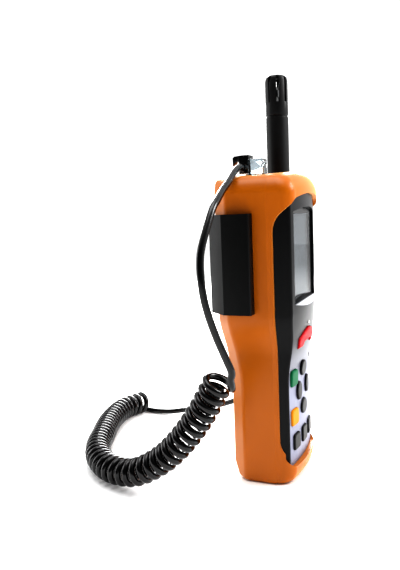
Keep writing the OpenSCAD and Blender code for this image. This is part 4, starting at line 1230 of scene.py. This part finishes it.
def shell_loft():
    """The shell before its openings."""
    low, high = NECK_LOW - FACE_LEAD_LOW, NECK_HIGH + 2
    slanted = [low + i * (high - low) / SHELL_STEPS for i in range(SHELL_STEPS + 1)]
    shell = loft("front_shell", [face_ring(z) for z in [SHELL_LOW] + slanted + [BODY_H]])
    outline = prism("outline", face_outline(-FIT), "Y", -REACH, -SEAM_Y)
    return cut(shell, outline, operation="INTERSECT")


def mark_front(piece):
    """Marks the faces that look forward, for the paint."""
    front = piece.data.attributes.new(FRONT_MARK, "FLOAT", "FACE")
    for mark, polygon in zip(front.data, piece.data.polygons):
        mark.value = 1 if polygon.normal.y < FACES_FRONT else 0


def make_front_housing():
    """The black front with all its openings."""
    shell = shell_loft()
    inner = FIT + WALL + ROOM_EXTRA
    room = prism("room", face_outline(-inner), "Y", -KEY_FLOOR_Y, -SEAM_Y + 1)
    upper = [p for p in face_outline(-inner - HEAD_ROOM_EXTRA) if p[1] > NECK_LOW - 1]
    head_room = prism("head_room", upper, "Y", -DISPLAY_FLOOR_Y, -KEY_FLOOR_Y + 0.5)
    cut(shell, room, head_room, *window_tools(), *recess_tools(), *key_tools(GAP))
    smoothed(eased(shell, SHELL_EDGE, 2, SHELL_ANGLE))
    baked(shell)
    mark_front(shell)
    return show(shell, "meter", FACE_ABS, "black_abs", "front_housing")


make_front_housing()

# %% [markdown]
# ## The key panel
# The panel is a thin sheet of painted plastic. Silver paint is half metal flake and half
# binder, so it is neither a metal nor a plain colour: a metallic value of 0.4 gives its cool
# glint. It gets darker at its head, where it meets the fading paint of the housing. The sheet
# keeps the face's crown, because two drums of nearly the same radius cut its front and back.

# %% Silver paint
PANEL_FADE_LOW, PANEL_FADE_HIGH = 60, 78
SILVER_PAINT = finish(
    "Silver painted panel", "#84869a", rough=0.4, grain=0.2, depth=0.006, mottle=0.05,
    Metallic=0.4,
)
recolour(
    SILVER_PAINT,
    height_share(SILVER_PAINT.node_tree, PANEL_FADE_LOW, PANEL_FADE_HIGH),
    PAINT,
)

# %% Make the panel
PANEL_FIT, PANEL_BEVEL, THIN_ANGLE = 0.1, 0.12, 50


def make_panel():
    """The silver panel, a thin crowned sheet with the key openings."""
    sheet = prism("keypad_panel_sheet", panel_outline(PANEL_FIT), "Y", -REACH, -SEAM_Y)
    front = crown_drum(FACE_GRIP, GRIP_CROWN_R, 0, CRADLE_TOP, NECK_LOW)
    cut(sheet, front, operation="INTERSECT")
    cut(sheet, crown_drum(FACE_GRIP, GRIP_CROWN_R, PANEL_T), *key_tools(GAP))
    smoothed(eased(sheet, PANEL_BEVEL, 2, THIN_ANGLE))
    return show(baked(sheet), "meter", SILVER_PAINT, "silver_panel", "keypad_panel")


make_panel()

# %% [markdown]
# ## The crescent
# Between window and keys lies a bow of metallised plastic. It is brighter and smoother than
# the paint, so it mirrors the sky as one white shape. It stands a little proud of the face.

# %% Make the crescent
SILVER_TRIM = finish(
    "Silver trim", "#a9abaf", rough=0.3, grain=0.2, depth=0.003, mottle=0.03,
    Metallic=0.8,
)
TRIM_PROUD, TRIM_BEVEL = 0.6, 0.2


def make_trim():
    """The silver crescent under the window."""
    trim = prism("trim_crescent_bow", trim_outline(0), "Y", -REACH, -SEAM_Y)
    cut(trim, crown_drum(FACE_HEAD, CROWN_R, -TRIM_PROUD), operation="INTERSECT")
    cut(trim, crown_drum(FACE_HEAD, CROWN_R, TRIM_DEPTH))
    smoothed(eased(trim, TRIM_BEVEL, 3, THIN_ANGLE))
    return show(baked(trim), "meter", SILVER_TRIM, "silver_trim", "trim_crescent")


make_trim()

# %% [markdown]
# ## The window
# The window is one sheet of acrylic, printed black on its border and clear in front of the
# display. Two pieces are the simple way to show that: a ring for the print and a sheet in it.
# Clear acrylic has an IOR near 1.49. A lower one is used here, because at this flat angle the
# full value mirrors the sky and hides the grey display that the photograph shows.

# %% Printed border and clear field
LENS_BORDER = finish(
    "Printed window border", "#0a0b0d", rough=0.25, grain=0.4, depth=0.001, mottle=0.05,
    Specular_IOR_Level=0.15,
)
LENS_CLEAR = finish(
    "Clear window acrylic", "#dfe3e6", rough=0.05, grain=0.4, depth=0.001, mottle=0.02,
    Transmission_Weight=0.98, IOR=1.12,
)
FIELD_INSET, FIELD_EDGE, BORDER_BEVEL, BORDER_ANGLE = 0.5, 0.3, 0.2, 60


def window_field(name, grow):
    """The clear part of the window, reaching past its two faces by the given length."""
    front, back = -LENS_Y - grow, -LENS_Y + LENS_T + grow
    field = prism(name, lens_outline(-FIELD_INSET), "Y", front, back)
    half = LCD_W / 2 + FIELD_EDGE
    limits = block("limits", (-half, front - 1, 0), (half, back + 1, LCD_LOW + LCD_H + FIELD_EDGE))
    return cut(field, limits, operation="INTERSECT")


def make_window():
    """The window: a printed black border round a clear field."""
    border = prism("lcd_window_border", lens_outline(0), "Y", -LENS_Y, -LENS_Y + LENS_T)
    cut(border, window_field("field", 1))
    smoothed(eased(border, BORDER_BEVEL, 2, BORDER_ANGLE))
    show(baked(border), "meter", LENS_BORDER, "window_acrylic", "lcd_lens")
    return show(window_field("lcd_window", 0), "meter", LENS_CLEAR, "window_acrylic")


make_window()

# %% [markdown]
# ## The wand
# The wand is a tube of black ABS with a fine spark-eroded texture, which scatters light and
# keeps it near black from every side. It has no corners at all, so a profile turned about its
# axis is the plain way to make it. Near the top a small step marks where the cap sits.

# %% Make the wand
BLACK_ABS = finish(
    "Black textured ABS", "#0b0c0d", rough=0.45, grain=0.3, depth=0.02, mottle=0.12,
    Specular_IOR_Level=0.3,
)
CAP_WALL, POLE_R, SPIGOT, WAND_ANGLE = 1.6, 0.01, 6, 40
FOOT_PROFILE = [(1, 0), (0.3, 0.3), (0, 1)]
TOP_PROFILE = [(0, 1.4), (0.1, 1.1), (0.5, 0.9), (0.5, 0)]


def make_wand_tube():
    """The wand's tube, from its rounded foot to the spigot that holds the cap."""
    top = WAND_Z + WAND_L
    inner = WAND_R - CAP_WALL - FIT
    profile = [(POLE_R, WAND_Z)] + [(WAND_R - dr, WAND_Z + up) for dr, up in FOOT_PROFILE]
    profile += [(WAND_R - dr, top - down) for dr, down in TOP_PROFILE]
    profile += [(inner, top), (inner, top + SPIGOT), (POLE_R, top + SPIGOT)]
    tube = smoothed(turned("wand_barrel", profile, WAND_X, WAND_Y), WAND_ANGLE)
    return show(baked(tube), "meter", BLACK_ABS, "black_abs", "wand_tube")


make_wand_tube()

# %% [markdown]
# ## Pieces that keep their CAD form
# The other nodes have the right shape already, so making them again would only add errors.
# Each gets its finish, smooth shading over its curves and, where the mould or the tool leaves
# a rounded edge, a narrow Bevel. A CAD mesh is loose triangles, so a Weld joins them first.

# %% Plastics and rubber
# The clip's mould has a deeper texture than the wand's, so it is matt and a little greyer.
CLIP_ABS = finish(
    "Black spark-eroded ABS", "#0c0d0d", rough=0.5, grain=0.25, depth=0.03, mottle=0.12,
    Specular_IOR_Level=0.2,
)
# The mat behind the keys is undyed silicone: matt and pale.
GREY_RUBBER = finish(
    "Grey silicone", "#8f9297", rough=0.6, grain=0.4, depth=0.01, mottle=0.08,
)
# The plug is injected polycarbonate. Its high IOR bends what is behind it and makes it sparkle.
CLEAR_PC = finish(
    "Clear polycarbonate", "#b3c1c8", rough=0.08, grain=0.6, depth=0.002, mottle=0.02,
    Transmission_Weight=0.92, IOR=1.58,
)

# %% Metals
# Screws have a bright zinc plating, bluish and smooth.
ZINC = finish(
    "Zinc plated steel", "#b4b7ba", rough=0.3, grain=0.2, depth=0.004, mottle=0.06,
    Metallic=1,
)
# The thread insert is brass from a lathe, yellow with a clean shine.
BRASS = finish(
    "Turned brass", "#c8a24a", rough=0.28, grain=0.2, depth=0.004, mottle=0.06,
    Metallic=1,
)
# The blades in the plug are stamped copper alloy, the only warm colour behind clear plastic.
COPPER = finish(
    "Copper contacts", "#c07a3c", rough=0.25, grain=0.2, depth=0.003, mottle=0.06,
    Metallic=1,
)

# %% Display, board and sensors
# A display that is off shows its polariser: flat grey, and very matt against glare.
LCD_GLASS = finish(
    "LCD polariser", "#5a5f63", rough=0.85, grain=0.15, depth=0.001, mottle=0.04,
    Specular_IOR_Level=0.2,
)
# Solder mask is green lacquer over copper, and shines softly.
BOARD = finish(
    "Green solder mask", "#1f6b3a", rough=0.35, grain=0.3, depth=0.004, mottle=0.08,
)
# A block battery is a steel can in a lacquered wrap, so it reads as paint and not as metal.
CAN = finish(
    "Wrapped steel can", "#55606e", rough=0.35, grain=0.3, depth=0.004, mottle=0.06,
)
# The humidity sensor is a dark film, smooth and with little gloss.
CERAMIC = finish(
    "Humidity film on dark laminate", "#34383a", rough=0.3, grain=0.3, depth=0.004, mottle=0.05,
)
# Cast epoxy has a wet look, which a coat gives.
LED_EPOXY = finish(
    "LED epoxy", "#e8e6e0", rough=0.2, grain=0.3, depth=0.002, mottle=0.02,
    Coat_Weight=0.4,
)
# The infrared window is coated: dark with a mirror-like surface.
IR_GLASS = finish(
    "Coated infrared glass", "#3a2d33", rough=0.08, grain=0.3, depth=0.001, mottle=0.1,
    Coat_Weight=1,
)

# %% Which piece gets what, with the width of its rounded edges
CAD_FINISHES = {
    "rear_housing": (BLACK_ABS, 0),
    "lcd_module": (LCD_GLASS, 0),
    "pcb": (BOARD, 0),
    "keypad_mat": (GREY_RUBBER, 0),
    "status_led": (LED_EPOXY, 0),
    "buzzer": (BLACK_ABS, 0),
    "battery": (CAN, 0.8),
    "battery_snap": (BLACK_ABS, 0),
    "battery_door": (BLACK_ABS, 0.25),
    "door_screw": (ZINC, 0),
    "housing_screws": (ZINC, 0),
    "pcb_screws": (ZINC, 0),
    "tripod_insert": (BRASS, 0),
    "ir_lens": (IR_GLASS, 0),
    "ir_barrel": (BLACK_ABS, 0),
    "thermopile": (ZINC, 0),
    "laser_pointer": (BRASS, 0),
    "top_jack": (BLACK_ABS, 0.15),
    "plug_body": (CLEAR_PC, 0.2),
    "plug_contacts": (COPPER, 0),
    "plug_boot": (PVC, 0.5),
    "wand_relief": (PVC, 0.2),
    "wand_cap": (BLACK_ABS, 0.15),
    "humidity_sensor": (CERAMIC, 0),
    "probe_clip": (CLIP_ABS, 0.5),
}
CAD_SHARP_ANGLE, CAD_SEGMENTS = 30, 3


def dress(name, surface, round_mm):
    """Material, shading and rounding of a CAD node."""
    piece = nodes[name]
    piece.data.materials.clear()
    piece.data.materials.append(surface)
    for polygon in piece.data.polygons:
        polygon.use_smooth = True
    if round_mm:
        weld = piece.modifiers.new("weld", "WELD")
        weld.merge_threshold = SAME_PLACE * MM
        edges = piece.modifiers.new("edges", "BEVEL")
        edges.width = round_mm * MM
        edges.segments = CAD_SEGMENTS
        edges.limit_method = "ANGLE"
        edges.angle_limit = math.radians(EDGE_ANGLE)
        edges.harden_normals = True
    else:
        piece.data.set_sharp_from_angle(angle=math.radians(CAD_SHARP_ANGLE))


for node_name, (surface, round_mm) in CAD_FINISHES.items():
    dress(node_name, surface, round_mm)
print("CAD pieces dressed:", len(CAD_FINISHES))

# %% [markdown]
# ## Floor
# The photograph was taken on a white sweep whose edge can't be seen. A large white slab with a
# matt finish gives the same. It belongs to the stage and not to the object.

# %% Floor
FLOOR_HALF, FLOOR_T = 3000, 3
PAPER = finish("Pale paper floor", "#ffffff", rough=0.85, grain=1.5, depth=0.02, mottle=0)


def add_floor():
    """A white slab whose top is at z = 0."""
    low, high = (-FLOOR_HALF, -FLOOR_HALF, -FLOOR_T), (FLOOR_HALF, FLOOR_HALF, 0)
    floor = block("floor", low, high)
    floor.data.materials.append(PAPER)
    print("floor width in metres:", 2 * FLOOR_HALF * MM)


add_floor()

# %% [markdown]
# ## Sky
# In the photograph light comes in from behind and from the right, and the side that faces the
# camera lies in shade. One even sky would light it from all sides and make the blacks grey. So
# the sky's strength grows towards the bright side. A picture of a studio would do the same, but
# a dot product needs no file. The camera itself sees plain white, like the paper in the photo.

# %% Sky
SKY_SIDE = Vector((0.9, 0.1, 0.4)).normalized()
SKY_DIM, SKY_BRIGHT, SKY_TURN = 0.1, 1, 0.5
WHITE = (1, 1, 1, 1)


def add_sky():
    """A sky whose strength grows softly towards its bright side."""
    world = bpy.data.worlds.new("sky")
    world.use_nodes = True
    tree = world.node_tree
    looking = add(tree, "ShaderNodeTexCoord").outputs["Generated"]
    share = add(tree, "ShaderNodeVectorMath", {0: looking, 1: SKY_SIDE}, operation="DOT_PRODUCT")
    strength = add(
        tree,
        "ShaderNodeMapRange",
        {
            "Value": share.outputs["Value"],
            "From Min": -SKY_TURN,
            "From Max": SKY_TURN,
            "To Min": SKY_DIM,
            "To Max": SKY_BRIGHT,
        },
        interpolation_type="SMOOTHSTEP",
    )
    seen = add(tree, "ShaderNodeLightPath").outputs["Is Camera Ray"]
    shown = add(
        tree, "ShaderNodeMix", {"Factor": seen, "A": strength.outputs["Result"], "B": SKY_BRIGHT}
    )
    background = tree.nodes["Background"]
    background.inputs["Color"].default_value = WHITE
    tree.links.new(shown.outputs["Result"], background.inputs["Strength"])
    bpy.context.scene.world = world


add_sky()
print("sky from", SKY_DIM, "to", SKY_BRIGHT)

# %% [markdown]
# ## Lamps
# Four soft lamps do what the sky alone can't. The one behind draws the pale band on the back's
# bevel, the one above lights the crest, the one in front fills the keys, and a weak one on the
# left parts the black clip from the shade. Large lamps near the object give soft edges.
#
# The photograph is hard, with burnt whites and deep blacks. The Standard view with the High
# Contrast look comes near it, where the filmic view would wash the orange out.

# %% Lamps and view
LAMPS = [
    ("back_lamp", (1.1, 0.45, 0.55), (0, 0, 0.15), 0.7, 21),
    ("top_lamp", (-0.1, 0.1, 1.3), (0, 0, 0.1), 0.8, 7),
    ("front_lamp", (0.3, -0.7, 0.7), (0, 0, 0.03), 0.4, 6),
    ("left_lamp", (-0.15, 1, 0.35), (0, 0, 0.1), 0.5, 2),
]


def add_lamp(name, place, target, size, power):
    """A square lamp that looks at the target. Places and size are in metres."""
    data = bpy.data.lights.new(name, "AREA")
    data.size = size
    data.energy = power
    lamp = bpy.data.objects.new(name, data)
    aim = (Vector(target) - Vector(place)).to_track_quat("-Z", "Y")
    lamp.matrix_world = Matrix.Translation(place) @ aim.to_matrix().to_4x4()
    bpy.context.scene.collection.objects.link(lamp)


for lamp in LAMPS:
    add_lamp(*lamp)
bpy.context.scene.view_settings.view_transform = "Standard"
bpy.context.scene.view_settings.look = "High Contrast"
print("lamps:", len(LAMPS))
